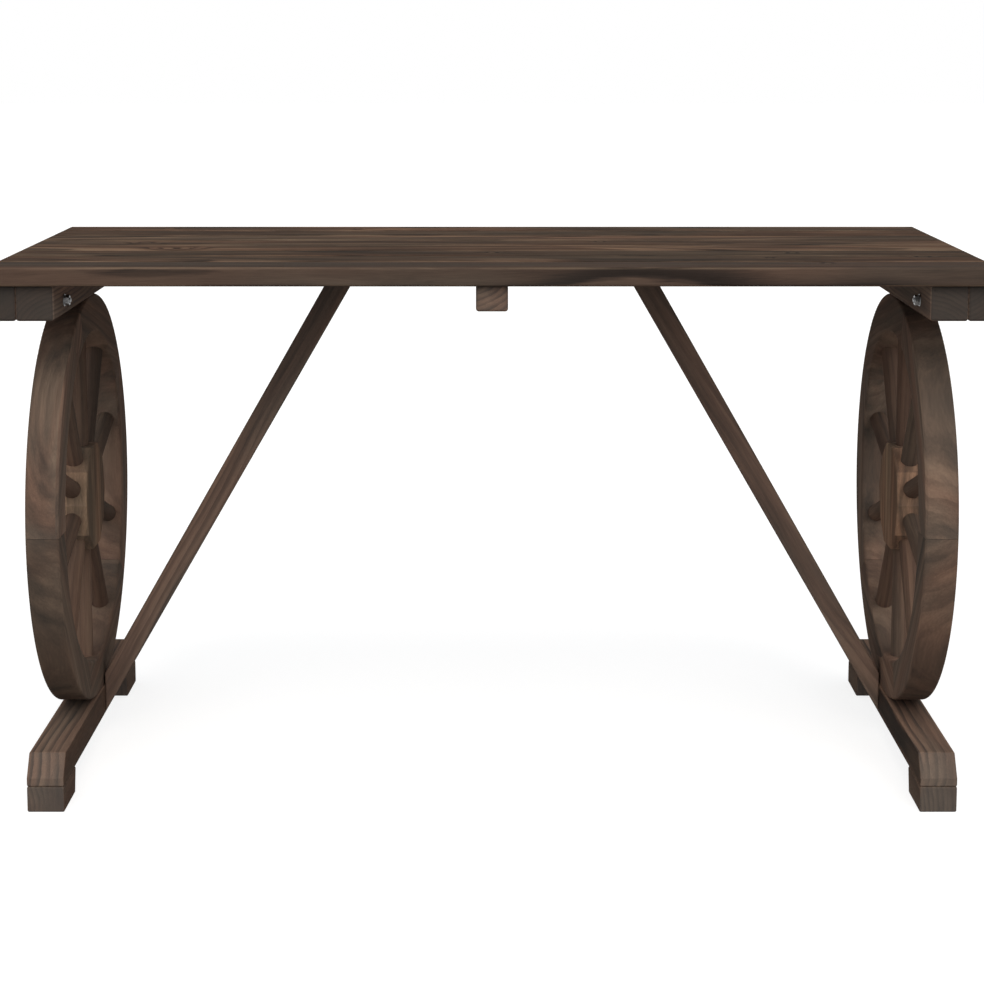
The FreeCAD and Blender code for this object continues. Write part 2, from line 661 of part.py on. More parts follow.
def hexagon_nut():
    """A six-sided nut that stands on the origin, with both rims turned to a cone."""
    height = value("Dims.nut_height")
    corner = value("Dims.nut_width / 2") / math.cos(math.radians(30))
    ring = [Vector(corner, 0, 0)]
    ring += [Rotation(Vector(0, 0, 1), 60 * step).multVec(ring[0]) for step in range(1, 7)]
    block = Part.Face(Part.makePolygon(ring)).extrude(Vector(0, 0, height))
    flat = value("Dims.nut_width / 2")
    lift = corner - flat
    lower_half = [(0, 0), (flat, 0), (corner, lift)]
    profile = lower_half + [(radius, height - z) for radius, z in reversed(lower_half)] + [(0, 0)]
    blank = turned(Part.makePolygon([Vector(radius, 0, z) for radius, z in profile]))
    bore = Part.makeCylinder(value("Dims.bolt_diameter / 2 + Dims.screw_clearance"), height)
    return block.common(blank).cut(bore)


def bolt_sets():
    """Four bolts with their washers and nuts, heads outwards."""
    groups = {"carriage_bolts": [], "bolt_washers": [], "bolt_nuts": []}
    height = value(f"{WHEEL_TOP} + {BOLT_HEIGHT}")
    head_seat = value(f"{END_BATTEN_OUTSIDE} - Dims.bolt_head_recess")
    washer_seat = value(BEAM_INSIDE)
    nut_seat = value(f"{BEAM_INSIDE} - Dims.washer_thickness")
    for side in SIDES.values():
        outwards = Vector(side, 0, 0)
        for end in ENDS.values():
            across = end * value("Dims.bolt_spacing / 2")
            groups["carriage_bolts"].append(at(carriage_bolt(), side * head_seat, across, height, outwards))
            groups["bolt_washers"].append(at(washer(), side * washer_seat, across, height, -outwards))
            groups["bolt_nuts"].append(at(hexagon_nut(), side * nut_seat, across, height, -outwards))
    for label, shapes in groups.items():
        group(label, shapes)


def felloe_dowels():
    """A dowel across every joint between two felloes."""
    reach = value("Dims.dowel_reach")
    dowel = Part.makeCylinder(value("Dims.dowel_diameter / 2"), 2 * reach, Vector(0, 0, -reach))
    radius = value(RIM_MIDDLE)
    shapes = []
    for side in SIDES.values():
        for index in range(FELLOE_COUNT):
            angle = math.radians(SPOKE_ANGLE / 2 + FELLOE_ANGLE * index)
            across, up = -math.sin(angle), math.cos(angle)
            middle = side * value(BEAM_PLANE), radius * across, value(WHEEL_AXIS) + radius * up
            shapes.append(at(dowel, *middle, Vector(0, up, -across)))
    group("felloe_dowels", shapes)


# The whole table

for slat_index in range(SLAT_COUNT):
    top_slat(slat_index)
centre_batten()
for side_name, side_sign in SIDES.items():
    top_beam(side_name, side_sign)
    end_batten(side_name, side_sign)
    hub(side_name, side_sign)
    for felloe_index in range(FELLOE_COUNT):
        felloe(side_name, side_sign, felloe_index)
    for spoke_index in range(SPOKE_COUNT):
        spoke(side_name, side_sign, spoke_index)
    base_beam(side_name, side_sign)
    for end_label, end_sign in ENDS.items():
        foot(side_name, side_sign, end_label, end_sign)
    brace(side_name, side_sign)
slat_screws()
frame_screws()
wheel_screws()
bolt_sets()
felloe_dowels()
doc.recompute()

# Every object has to be sound before anything is written.
for item in doc.Objects:
    if "Invalid" in item.State or "Error" in item.State:
        raise ValueError(f"{item.Label}: {item.State}")
for piece in sub_parts:
    if piece.Shape.isNull() or not piece.Shape.isValid():
        raise ValueError(f"{piece.Label}: unsound shape")

os.makedirs("parts", exist_ok=True)
box = FreeCAD.BoundBox()
for piece in sub_parts:
    piece.Shape.exportStep(f"parts/{piece.Label}.step")
    box.add(piece.Shape.optimalBoundingBox(False, False))
print(f"{len(sub_parts)} nodes, {sum(len(piece.Shape.Solids) for piece in sub_parts)} solids")
print(f"length {box.XLength:.1f}, depth {box.YLength:.1f}, height {box.ZLength:.1f}, lowest {box.ZMin:.3f}")
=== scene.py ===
# %% [markdown]
# A rustic garden table in stained fir: eight slats on beams, two wagon wheels as legs, footed beams under
# the wheels and two slanting braces. Its boards could be modelled again in Blender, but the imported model
# already has every one at its true size and place. So this lesson only dresses it: each board gets its own
# grain, and the plain screws, bolts, nuts and dowels make way for ones with recesses, threads and flutes.
# Loading the frame first means that every place below can be read from it.

# %% Load the frame
import math
import random
from collections import namedtuple

import bmesh
import bpy
import numpy as np
from mathutils import Matrix, Vector


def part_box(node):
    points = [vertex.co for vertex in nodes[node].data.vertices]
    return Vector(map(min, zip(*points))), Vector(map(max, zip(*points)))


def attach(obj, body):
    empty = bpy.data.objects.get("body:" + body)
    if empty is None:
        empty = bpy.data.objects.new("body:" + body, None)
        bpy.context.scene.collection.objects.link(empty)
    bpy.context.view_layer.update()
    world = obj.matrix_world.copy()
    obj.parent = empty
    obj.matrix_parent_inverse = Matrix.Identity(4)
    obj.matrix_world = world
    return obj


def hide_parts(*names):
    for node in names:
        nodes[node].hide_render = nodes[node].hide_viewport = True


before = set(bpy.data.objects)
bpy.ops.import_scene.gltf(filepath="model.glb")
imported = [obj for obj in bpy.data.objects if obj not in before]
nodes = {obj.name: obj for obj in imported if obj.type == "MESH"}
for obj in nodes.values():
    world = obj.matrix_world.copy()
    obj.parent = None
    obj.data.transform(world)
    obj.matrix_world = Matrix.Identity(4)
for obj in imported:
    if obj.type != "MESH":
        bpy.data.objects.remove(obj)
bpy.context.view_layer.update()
scene = bpy.context.scene

# %% [markdown]
# The camera. The photograph was taken from straight in front, a little above the table top, with the
# upright lines kept nearly parallel. A long lens with a small downward tilt and a small shift gives that
# picture. By tilt alone the wheels would lean outwards, and by shift alone the table would slide out of
# frame in other views, so the two share the work.

# %% Camera
CAMERA_PLACE = (0.0, -3.3775, 1.0623)
CAMERA_TILT = math.radians(7.741)
LEVEL_VIEW = math.radians(90)
LENS_MM = 84.70
SENSOR_MM = 36
LENS_SHIFT = -0.15

camera_data = bpy.data.cameras.new("front_camera")
camera_data.lens = LENS_MM
camera_data.sensor_width = SENSOR_MM
camera_data.shift_y = LENS_SHIFT
camera = bpy.data.objects.new("front_camera", camera_data)
camera.location = CAMERA_PLACE
camera.rotation_euler = (LEVEL_VIEW - CAMERA_TILT, 0, 0)
scene.collection.objects.link(camera)
bpy.context.scene.camera = camera
print("camera at", CAMERA_PLACE, "lens", LENS_MM, "mm")

# %% [markdown]
# Shader nodes by script. The wood, the zinc, the floor and the sky are all node trees. They could be drawn
# by hand in the shader editor, but sums of dozens of nodes are hard to follow there. With one small
# function for each kind of node, a tree reads like a row of sums, and each value can be a plain number or
# another node's output.

# %% Node helpers
# A Mix node's sockets for numbers, vectors and colours share their names, so the colour ones go by number.
MIX_FIRST, MIX_SECOND, MIX_RESULT = 6, 7, 2


def add_node(tree, kind, **settings):
    """One shader node with its settings."""
    node = tree.nodes.new(f"ShaderNode{kind}")
    for name, setting in settings.items():
        setattr(node, name, setting)
    return node


def plug(tree, socket, source):
    """Feeds a socket from another node's output, or sets it to a plain value."""
    if isinstance(source, bpy.types.NodeSocket):
        tree.links.new(source, socket)
    else:
        socket.default_value = source


def math_node(tree, operation, *sources):
    """The result of one arithmetic step."""
    node = add_node(tree, "Math", operation=operation)
    for socket, source in zip(node.inputs, sources):
        plug(tree, socket, source)
    return node.outputs[0]


def vector_node(tree, operation, *sources):
    """The result of one step on vectors."""
    node = add_node(tree, "VectorMath", operation=operation)
    for socket, source in zip(node.inputs, sources):
        plug(tree, socket, source)
    return node.outputs["Value" if operation == "LENGTH" else "Vector"]


def colour_mix(tree, blend, share, first, second):
    """Two colours mixed, each a socket or a plain colour."""
    node = add_node(tree, "Mix", data_type="RGBA", blend_type=blend)
    plug(tree, node.inputs["Factor"], share)
    plug(tree, node.inputs[MIX_FIRST], first)
    plug(tree, node.inputs[MIX_SECOND], second)
    return node.outputs[MIX_RESULT]


def new_material(name):
    """A material with its node tree and its shader."""
    material = bpy.data.materials.new(name)
    material.use_nodes = True
    return material, material.node_tree, material.node_tree.nodes["Principled BSDF"]


print("helpers for arithmetic, vectors, colours and materials")

# %% [markdown]
# The studio. A product picture like this stands on a white sweep. A modelled backdrop would have to be huge
# to fill every view, so a plain world and one wide, matt floor do it. What the camera sees of them gets
# extra white through the Light Path node: the background is white, the shadow stays, and the lamps can keep
# to a plain level. The world's light is faintly cool and the floor faintly warm, so that the shadow on it
# comes out neutral.

# %% World
AMBIENT = 0.46
AMBIENT_COLOUR = (0.90, 1.0, 1.11, 1)
WHITE = (1, 1, 1, 1)


def seen_directly(tree):
    """1 for rays from the camera, and for those that metal or glass sends on."""
    path = add_node(tree, "LightPath")
    shiny = math_node(tree, "MAXIMUM", path.outputs["Is Glossy Ray"], path.outputs["Is Transmission Ray"])
    return math_node(tree, "MAXIMUM", path.outputs["Is Camera Ray"], shiny)


scene.view_settings.view_transform = "Standard"
scene.world = bpy.data.worlds.new("white_studio")
scene.world.use_nodes = True
sky = scene.world.node_tree
background = sky.nodes["Background"]
direct = seen_directly(sky)
plug(sky, background.inputs["Color"], colour_mix(sky, "MIX", direct, AMBIENT_COLOUR, WHITE))
plug(sky, background.inputs["Strength"], math_node(sky, "MULTIPLY_ADD", direct, 1 - AMBIENT, AMBIENT))
print("ambient light", AMBIENT, "under the view transform", scene.view_settings.view_transform)

# %% Floor
FLOOR_SIZE = 60
FLOOR_COLOUR = (0.335, 0.32, 0.305, 1)
FLOOR_LIFT = 0.80
FLOOR_ROUGHNESS = 0.9
FLOOR_GLOSS = 0.1

half = FLOOR_SIZE / 2
floor_corners = [(-half, -half, 0), (half, -half, 0), (half, half, 0), (-half, half, 0)]
floor_mesh = bpy.data.meshes.new("floor")
floor_mesh.from_pydata(floor_corners, [], [(0, 1, 2, 3)])
floor = bpy.data.objects.new("floor", floor_mesh)
scene.collection.objects.link(floor)
floor_material, floor_tree, floor_shader = new_material("pale_floor")
floor_shader.inputs["Base Color"].default_value = FLOOR_COLOUR
floor_shader.inputs["Roughness"].default_value = FLOOR_ROUGHNESS
floor_shader.inputs["Specular IOR Level"].default_value = FLOOR_GLOSS
floor_shader.inputs["Emission Color"].default_value = WHITE
lift = math_node(floor_tree, "MULTIPLY", seen_directly(floor_tree), FLOOR_LIFT)
plug(floor_tree, floor_shader.inputs["Emission Strength"], lift)
floor_mesh.materials.append(floor_material)
print("floor", FLOOR_SIZE, "m wide")

# %% [markdown]
# The lamps. The photograph's main light is big and soft, in front of the table and about 50 degrees up: the
# overhang of the top throws a soft shadow down to a third of each wheel. A weak light low in front, and one
# from either side, reach under the top, so that the braces and the insides of the wheels don't go black.
# Lamps close by would leave the far floor dark, so all four are suns, with wide discs for soft shadows. The
# main one is slightly warm, against the cool world.

# %% Lamps
Lamp = namedtuple("Lamp", "name strength elevation turn softness colour", defaults=((1, 1, 1),))
LAMPS = (
    Lamp("main_light", strength=1.95, elevation=50, turn=6, softness=52, colour=(1.0, 0.97, 0.92)),
    Lamp("front_fill", strength=0.55, elevation=6, turn=0, softness=45),
    Lamp("right_fill", strength=0.58, elevation=9, turn=42, softness=60),
    Lamp("left_fill", strength=0.58, elevation=9, turn=-42, softness=60),
)
for lamp in LAMPS:
    sun_data = bpy.data.lights.new(lamp.name, "SUN")
    sun_data.energy = lamp.strength
    sun_data.color = lamp.colour
    sun_data.angle = math.radians(lamp.softness)
    sun = bpy.data.objects.new(lamp.name, sun_data)
    sun.rotation_euler = (LEVEL_VIEW - math.radians(lamp.elevation), 0, math.radians(lamp.turn))
    scene.collection.objects.link(sun)
    print(lamp.name, lamp.strength, "at", lamp.elevation, "degrees up and", lamp.turn, "to the right")

# %% [markdown]
# The wood. Stained fir shows long streaks, growth rings that make arches where a board is sawn flat, knots
# that the rings flow round, and grey end grain with ring arcs. A flat picture on each face would break at
# the corners. A solid pattern doesn't: each board gets its own coordinates, with x along the grain, and the
# pattern is worked out in the whole block. Custom properties on each object hold the board's direction, its
# tree's heart, its knots and its stain, and one node group reads them, so a single material serves many
# boards.

# %% Board coordinates
NOISE_MEAN = 0.5


def property_of_board(tree, name, output="Vector"):
    """A custom property, of three numbers or one, of the object that is being shaded."""
    return add_node(tree, "Attribute", attribute_type="OBJECT", attribute_name=name).outputs[output]


def three_parts(tree, vector):
    """The three numbers of a vector."""
    node = add_node(tree, "SeparateXYZ")
    plug(tree, node.inputs[0], vector)
    return node.outputs


def noise(tree, vector, scale, detail=3.0, roughness=0.55):
    """Smooth random values about 0.5 and, as a colour, three of them; the scale is a factor for each axis."""
    node = add_node(tree, "TexNoise")
    node.inputs["Scale"].default_value = 1.0
    node.inputs["Detail"].default_value = detail
    node.inputs["Roughness"].default_value = roughness
    plug(tree, node.inputs["Vector"], vector_node(tree, "MULTIPLY", vector, scale))
    return node.outputs


def smooth_step(tree, value, start, end):
    """0 before start, 1 past end and a soft ramp between."""
    node = add_node(tree, "MapRange", interpolation_type="SMOOTHSTEP")
    plug(tree, node.inputs["Value"], value)
    node.inputs["From Min"].default_value = start
    node.inputs["From Max"].default_value = end
    return node.outputs["Result"]


def board_space(tree):
    """Places and normals in the board's own axes: x along the grain, y across, z through the board."""
    turn = property_of_board(tree, "grain_turn")
    start = property_of_board(tree, "grain_start")
    coordinates = add_node(tree, "TexCoord")
    place = vector_node(tree, "SUBTRACT", coordinates.outputs["Object"], start)
    results = []
    for vector in (place, coordinates.outputs["Normal"]):
        rotate = add_node(tree, "VectorRotate", rotation_type="EULER_XYZ", invert=True)
        plug(tree, rotate.inputs["Vector"], vector)
        plug(tree, rotate.inputs["Rotation"], turn)
        results.append(rotate.outputs["Vector"])
    return results


print("a board is read by its start, turn, seed, heart, half size, stain, figure, ends, sides and knots")

# %% [markdown]
# Inside the tree. Growth rings are cylinders about the tree's heart, which lies outside the board and a
# little out of line with it. So a point's distance from the heart says which ring it is in, and streaks
# that change quickly with that distance, but slowly along the grain and round the heart, look like wood on
# every face at once. A knot is a branch that runs through the board: near it the rings swell, which bends
# the lines round it.

# %% Knots bend the rings
KNOT_NAMES = ("knot_1", "knot_2")
KNOT_FLATTENING = (0.75, 1.0, 0.0)
KNOT_SPREAD = -0.16
KNOT_SWELL = 1.5


def knot_distance(tree, place, name):
    """The distance from a knot's middle, in knot radii, and the knot's radius."""
    knot = property_of_board(tree, name)
    radius = three_parts(tree, knot)[2]
    offset = vector_node(tree, "MULTIPLY", vector_node(tree, "SUBTRACT", place, knot), KNOT_FLATTENING)
    return math_node(tree, "DIVIDE", vector_node(tree, "LENGTH", offset), radius), radius


def swell_at_knots(tree, place, ring_radius):
    """The distance from the heart, swollen near the knots, and the distance from the nearest knot."""
    nearest = None
    for name in KNOT_NAMES:
        distance, knot_radius = knot_distance(tree, place, name)
        square = math_node(tree, "MULTIPLY", distance, distance)
        fade = math_node(tree, "EXPONENT", math_node(tree, "MULTIPLY", square, KNOT_SPREAD))
        swell = math_node(tree, "MULTIPLY", fade, math_node(tree, "MULTIPLY", knot_radius, KNOT_SWELL))
        ring_radius = math_node(tree, "ADD", ring_radius, swell)
        nearest = math_node(tree, "MINIMUM", nearest, distance) if nearest else distance
    return ring_radius, nearest


print("a knot swells the rings by", KNOT_SWELL, "of its radius")

# %% Tree coordinates
WANDER_SCALE = (1.9, 4, 4)
WANDER_REACH = (0.0, 0.026, 0.026)


def diagonal(tree, first, second):
    """The length of the diagonal of two sides."""
    square = math_node(tree, "MULTIPLY", second, second)
    return math_node(tree, "SQRT", math_node(tree, "MULTIPLY_ADD", first, first, square))


def tree_space(tree, place):
    """Places as (along the grain, distance from the heart, way round it), that distance, and a knot's."""
    seed = property_of_board(tree, "grain_seed")
    wander = noise(tree, vector_node(tree, "ADD", place, seed), WANDER_SCALE, detail=2)["Color"]
    centred = vector_node(tree, "SUBTRACT", wander, (NOISE_MEAN, NOISE_MEAN, NOISE_MEAN))
    bent = vector_node(tree, "ADD", place, vector_node(tree, "MULTIPLY", centred, WANDER_REACH))
    x, y, z = three_parts(tree, bent)
    lean, heart_y, heart_z = three_parts(tree, property_of_board(tree, "grain_heart"))
    across = math_node(tree, "SUBTRACT", y, heart_y)
    through = math_node(tree, "SUBTRACT", math_node(tree, "MULTIPLY_ADD", x, lean, z), heart_z)
    radius, knot = swell_at_knots(tree, bent, diagonal(tree, across, through))
    heart_reach = diagonal(tree, heart_y, heart_z)
    round_heart = math_node(tree, "MULTIPLY", math_node(tree, "ARCTAN2", across, through), heart_reach)
    within = add_node(tree, "CombineXYZ")
    for socket, source in zip(within.inputs, (x, radius, round_heart)):
        plug(tree, socket, source)
    return within.outputs[0], radius, knot


print("the grain wanders by up to", max(WANDER_REACH) / 2, "m")

# %% [markdown]
# The figure. Four things make the light and dark of a stained board: long streaks where the wood drinks
# more or less stain, broad clouds of tone, the dark late wood at the end of each ring, and fine fibres. A
# photograph of wood would give them too, but only for one board. Here they are added up about a middle
# grey, each with its own share, and the board's contrast stretches the sum. The rings are of uneven width,
# and some fade out. A knot adds a ragged dark ring round a pale middle.

# %% Rings, knots and worn edges
RING_BEND = 1.6
RING_JITTER = 0.5
# Each pair is a ramp, from where it is 0 to where it is 1, in shares of a ring, knot radii, metres or noise.
LATE_RISE = (0.3, 0.86)
LATE_STOP = (1.0, 0.88)
RING_FADE = (0.3, 0.62)
KNOT_RING_INSIDE = (0.45, 0.9)
KNOT_RING_OUTSIDE = (1.5, 1.0)
KNOT_MIDDLE = (0.9, 0.5)
EDGE_REACH = (0.004, 0.001)
EDGE_BREAKS = (0.45, 0.66)
KNOT_RAGGED = 1.6
KNOT_DARK_SHARE = -0.28
KNOT_PALE_SHARE = 0.26


def late_wood(tree, radius, ring_width, broad, streak, strength):
    """1 in the dark late wood of each ring; the rings are of uneven width, some strong and some faint."""
    turns = math_node(tree, "MULTIPLY_ADD", broad, RING_BEND, math_node(tree, "DIVIDE", radius, ring_width))
    phase = math_node(tree, "FRACT", math_node(tree, "MULTIPLY_ADD", streak, RING_JITTER, turns))
    rise = smooth_step(tree, phase, *LATE_RISE)
    ring = math_node(tree, "MULTIPLY", rise, smooth_step(tree, phase, *LATE_STOP))
    return math_node(tree, "MULTIPLY", ring, smooth_step(tree, strength, *RING_FADE))


def knot_figure(tree, distance, streak, paleness):
    """The ragged dark ring and the pale middle of a knot, as a change of the figure."""
    ragged = math_node(tree, "SUBTRACT", streak, NOISE_MEAN)
    distance = math_node(tree, "MULTIPLY_ADD", ragged, KNOT_RAGGED, distance)
    inside = smooth_step(tree, distance, *KNOT_RING_INSIDE)
    ring = math_node(tree, "MULTIPLY", inside, smooth_step(tree, distance, *KNOT_RING_OUTSIDE))
    pale = math_node(tree, "MULTIPLY", smooth_step(tree, distance, *KNOT_MIDDLE), paleness)
    pale_part = math_node(tree, "MULTIPLY", pale, KNOT_PALE_SHARE)
    return math_node(tree, "MULTIPLY_ADD", ring, KNOT_DARK_SHARE, pale_part)


def edge_nearness(tree, place, streak):
    """1 along the board's edges, broken up by the streaks, and 0 inside its faces."""
    half_size = property_of_board(tree, "board_half")
    depth = vector_node(tree, "SUBTRACT", half_size, vector_node(tree, "ABSOLUTE", place))
    x, y, z = three_parts(tree, depth)
    nearer = math_node(tree, "MINIMUM", x, y)
    farther = math_node(tree, "MAXIMUM", x, y)
    second = math_node(tree, "MAXIMUM", nearer, math_node(tree, "MINIMUM", farther, z))
    near = smooth_step(tree, second, *EDGE_REACH)
    return math_node(tree, "MULTIPLY", near, smooth_step(tree, streak, *EDGE_BREAKS))


print("late wood from", LATE_RISE[0], "of each ring, worn edges", EDGE_REACH[0], "m wide")

# %% [markdown]
# One group for all boards. The parts above could be wired into every material, but a node group is made
# once and then used like a single node. It gives out the figure, the tint of the patches, the places where
# a face is end grain or a side, the worn edges, the roughness and the height. Late wood is harder and
# stands a little proud once the surface is brushed, so it feeds the height too.

# %% The wood group
STREAK_SCALE = (3.5, 95, 26)
BROAD_SCALE = (2.0, 19, 10)
FIBRE_SCALE = (30, 800, 500)
FIBRE_SHARE = 0.24
LATE_MEAN = 0.2
MIDDLE_GREY = 0.5
TINT_RAMP = (0.34, 0.66)
FACING_RAMP = (0.5, 0.85)
ROUGHNESS_LEAST, ROUGHNESS_RANGE = 0.66, 0.24
LATE_HEIGHT, STREAK_HEIGHT, FIBRE_HEIGHT = 0.5, 0.6, 0.45


def make_wood_group():
    """A node group that works out a board's figure and finish from its properties."""
    tree = bpy.data.node_groups.new("stained_fir", "ShaderNodeTree")
    for name in ("Figure", "Tint", "End", "Side", "Edge", "Roughness", "Height"):
        tree.interface.new_socket(name, in_out="OUTPUT", socket_type="NodeSocketFloat")
    result = tree.nodes.new("NodeGroupOutput").inputs
    place, normal = board_space(tree)
    within, radius, knot = tree_space(tree, place)
    seeded = vector_node(tree, "ADD", within, property_of_board(tree, "grain_seed"))
    contrast, ring_width = three_parts(tree, property_of_board(tree, "board_stain"))[1:]
    paleness = three_parts(tree, property_of_board(tree, "board_end"))[2]

    streak = noise(tree, seeded, STREAK_SCALE, detail=4, roughness=0.6)["Fac"]
    broad, clouds = noise(tree, seeded, BROAD_SCALE, detail=2)
    fibre = noise(tree, seeded, FIBRE_SCALE, detail=2)["Fac"]
    strength, patches = three_parts(tree, clouds)[:2]
    late = late_wood(tree, radius, ring_width, broad, streak, strength)
    streak_share, broad_share, late_share = three_parts(tree, property_of_board(tree, "board_figure"))
    figure = knot_figure(tree, knot, streak, paleness)
    for source, mean, share in ((streak, NOISE_MEAN, streak_share), (broad, NOISE_MEAN, broad_share),
                                (fibre, NOISE_MEAN, FIBRE_SHARE), (late, LATE_MEAN, late_share)):
        figure = math_node(tree, "MULTIPLY_ADD", math_node(tree, "SUBTRACT", source, mean), share, figure)
    plug(tree, result["Figure"], math_node(tree, "MULTIPLY_ADD", figure, contrast, MIDDLE_GREY))

    plug(tree, result["Tint"], smooth_step(tree, patches, *TINT_RAMP))
    for name, part in zip(("End", "Side"), three_parts(tree, normal)):
        plug(tree, result[name], smooth_step(tree, math_node(tree, "ABSOLUTE", part), *FACING_RAMP))
    plug(tree, result["Edge"], edge_nearness(tree, place, streak))
    roughness = math_node(tree, "MULTIPLY_ADD", streak, ROUGHNESS_RANGE, ROUGHNESS_LEAST)
    plug(tree, result["Roughness"], roughness)
    streak_height = math_node(tree, "MULTIPLY", streak, STREAK_HEIGHT)
    height = math_node(tree, "MULTIPLY_ADD", late, LATE_HEIGHT, streak_height)
    plug(tree, result["Height"], math_node(tree, "MULTIPLY_ADD", fibre, FIBRE_HEIGHT, height))
    return tree


wood_group = make_wood_group()
print("wood group", len(wood_group.nodes), "nodes")

# %% [markdown]
# The stain. The boards of the real table were stained alike, a smoky brown, so one function makes the
# material from a list of stain colours, dark to light, and each board's own tone makes it lighter or
# darker. Patches lean to pink or to grey-green. End grain soaks up the stain and turns grey, worn edges
# show paler wood, and on some boards the sides get painted light or painted shade, a change of tone where
# the light falls on them. A faint cast is multiplied in: warm painted sunlight on the top, cool painted
# shade on the front slat and the boards under the top, and the hubs' own ochre.
# The finish is dull: with more gloss, the white room would lay a grey veil over the table top, which is
# seen at a low angle.

# %% Wood materials
STAIN = [
    (0.00, (0.020, 0.016, 0.014)),
    (0.28, (0.045, 0.033, 0.027)),
    (0.50, (0.080, 0.053, 0.040)),
    (0.72, (0.128, 0.083, 0.060)),
    (1.00, (0.225, 0.148, 0.102)),
]
NEW_STOP = 0.5
GREENISH, PINKISH = (0.94, 1.01, 1.0, 1), (1.07, 0.98, 0.93, 1)
END_GRAIN_COLOUR = (0.080, 0.069, 0.061)
WORN_COLOUR = (0.19, 0.130, 0.086, 1)
WORN_SHARE = 0.5
WOOD_GLOSS = 0.005
BUMP_STRENGTH = 0.4
BUMP_DEPTH = 0.0006


def stain_ramp(tree, figure):
    """The stain's colour for each value of the figure."""
    ramp = add_node(tree, "ValToRGB")
    stops = ramp.color_ramp.elements
    while len(stops) < len(STAIN):
        stops.new(NEW_STOP)
    for stop, (position, colour) in zip(stops, STAIN):
        stop.position = position
        stop.color = (*colour, 1)
    plug(tree, ramp.inputs["Fac"], figure)
    return ramp.outputs["Color"]


def scaled(tree, colour, factor):
    """A colour made lighter or darker."""
    node = add_node(tree, "VectorMath", operation="SCALE")
    plug(tree, node.inputs[0], colour)
    plug(tree, node.inputs["Scale"], factor)
    return node.outputs[0]


def make_wood(name, cast_and_painted_light):
    """A wood material: the shared figure, coloured by the stain and the board's tone."""
    material, tree, shader = new_material(name)
    group = add_node(tree, "Group", node_tree=wood_group)
    wood = group.outputs
    # The cast multiplied in here is painted light on some boards: warm painted sunlight on the top, cool
    # painted shade on the front slat and the boards under the top.
    stained = colour_mix(tree, "MULTIPLY", 1.0, stain_ramp(tree, wood["Figure"]), cast_and_painted_light)
    tint = colour_mix(tree, "MIX", wood["Tint"], GREENISH, PINKISH)
    tone = three_parts(tree, property_of_board(tree, "board_stain"))[0]
    # Painted light or painted shade on a board's sides: its tone is changed there by the board's side
    # setting.
    side_change = property_of_board(tree, "side_change", "Fac")
    tone = math_node(tree, "MULTIPLY", tone, math_node(tree, "MULTIPLY_ADD", wood["Side"], side_change, 1.0))
    colour = scaled(tree, colour_mix(tree, "MULTIPLY", 1.0, stained, tint), tone)
    end_share, end_tone = three_parts(tree, property_of_board(tree, "board_end"))[:2]
    grey = math_node(tree, "MULTIPLY", wood["End"], end_share)
    colour = colour_mix(tree, "MIX", grey, colour, scaled(tree, END_GRAIN_COLOUR, end_tone))
    worn = math_node(tree, "MULTIPLY", wood["Edge"], WORN_SHARE)
    plug(tree, shader.inputs["Base Color"], colour_mix(tree, "MIX", worn, colour, WORN_COLOUR))
    plug(tree, shader.inputs["Roughness"], wood["Roughness"])
    shader.inputs["Specular IOR Level"].default_value = WOOD_GLOSS
    bump = add_node(tree, "Bump")
    bump.inputs["Strength"].default_value = BUMP_STRENGTH
    bump.inputs["Distance"].default_value = BUMP_DEPTH
    plug(tree, bump.inputs["Height"], wood["Height"])
    plug(tree, shader.inputs["Normal"], bump.outputs["Normal"])
    return material


# Warm painted sunlight on the top, cool painted shade on the front slat and the boards under the top; the
# hubs' ochre is their own colour.
CASTS_AND_PAINTED_LIGHT = {
    "top_wood": (1.01, 0.98, 0.93, 1),
    "painted_shade_wood": (0.97, 1.02, 1.07, 1),
    "frame_wood": WHITE,
    "wheel_wood": WHITE,
    "hub_wood": (1.05, 0.985, 0.88, 1),
    "dowel_wood": WHITE,
}
woods = {wood: make_wood(f"{wood}_stain", cast_and_painted_light) for wood, cast_and_painted_light in CASTS_AND_PAINTED_LIGHT.items()}
print("stains", list(woods))

# %% [markdown]
# Grain direction. A joiner cuts each board with the grain along its length: the slats along the table,
# beams and feet across it, spokes from hub to rim, and each rim segment along the straight line between its
# two ends. A small function turns such a direction into the properties that the wood group reads. The
# heart's place decides what a face shows: far off to the side it gives straight stripes, close behind a
# face it gives arches. A board's figure is its shares of streaks, clouds and late wood, and its end is the
# share and the tone of the grey on its end grain. A seeded generator moves everything a little, so that no
# two boards look alike and every run is the same.

# %% Give a board its grain
PLAIN_LEAN = 0.02
PLAIN_FIGURE = (1.0, 0.85, -0.26)
PLAIN_END = (0.75, 1.0)
NO_PAINTED_SIDE_LIGHT = 0.0
# side is painted light or painted shade on a board's sides, as a share of its tone.
Board = namedtuple("Board", "wood tone contrast ring heart lean figure end side",
                   defaults=(PLAIN_LEAN, PLAIN_FIGURE, PLAIN_END, NO_PAINTED_SIDE_LIGHT))
GRAIN_SEED = 11
SEED_ROOM = (40, 4, 4)
HEART_SPREAD, LEAN_SPREAD, TONE_SPREAD = (0.8, 1.2), (0.6, 1.4), (0.94, 1.06)
# A board without knots has them far outside it, and one without worn edges has its edges far outside.
NO_KNOT = (9.0, 9.0, 0.01)
NO_EDGE = (1.0, 1.0, 1.0)
KNOT_PALENESS = 0.8
ALONG_TABLE, ACROSS_TABLE, UPWARDS = (1, 0, 0), (0, 1, 0), (0, 0, 1)
LOWEST_CORNER, HIGHEST_CORNER = 0, 6
dice = random.Random(GRAIN_SEED)


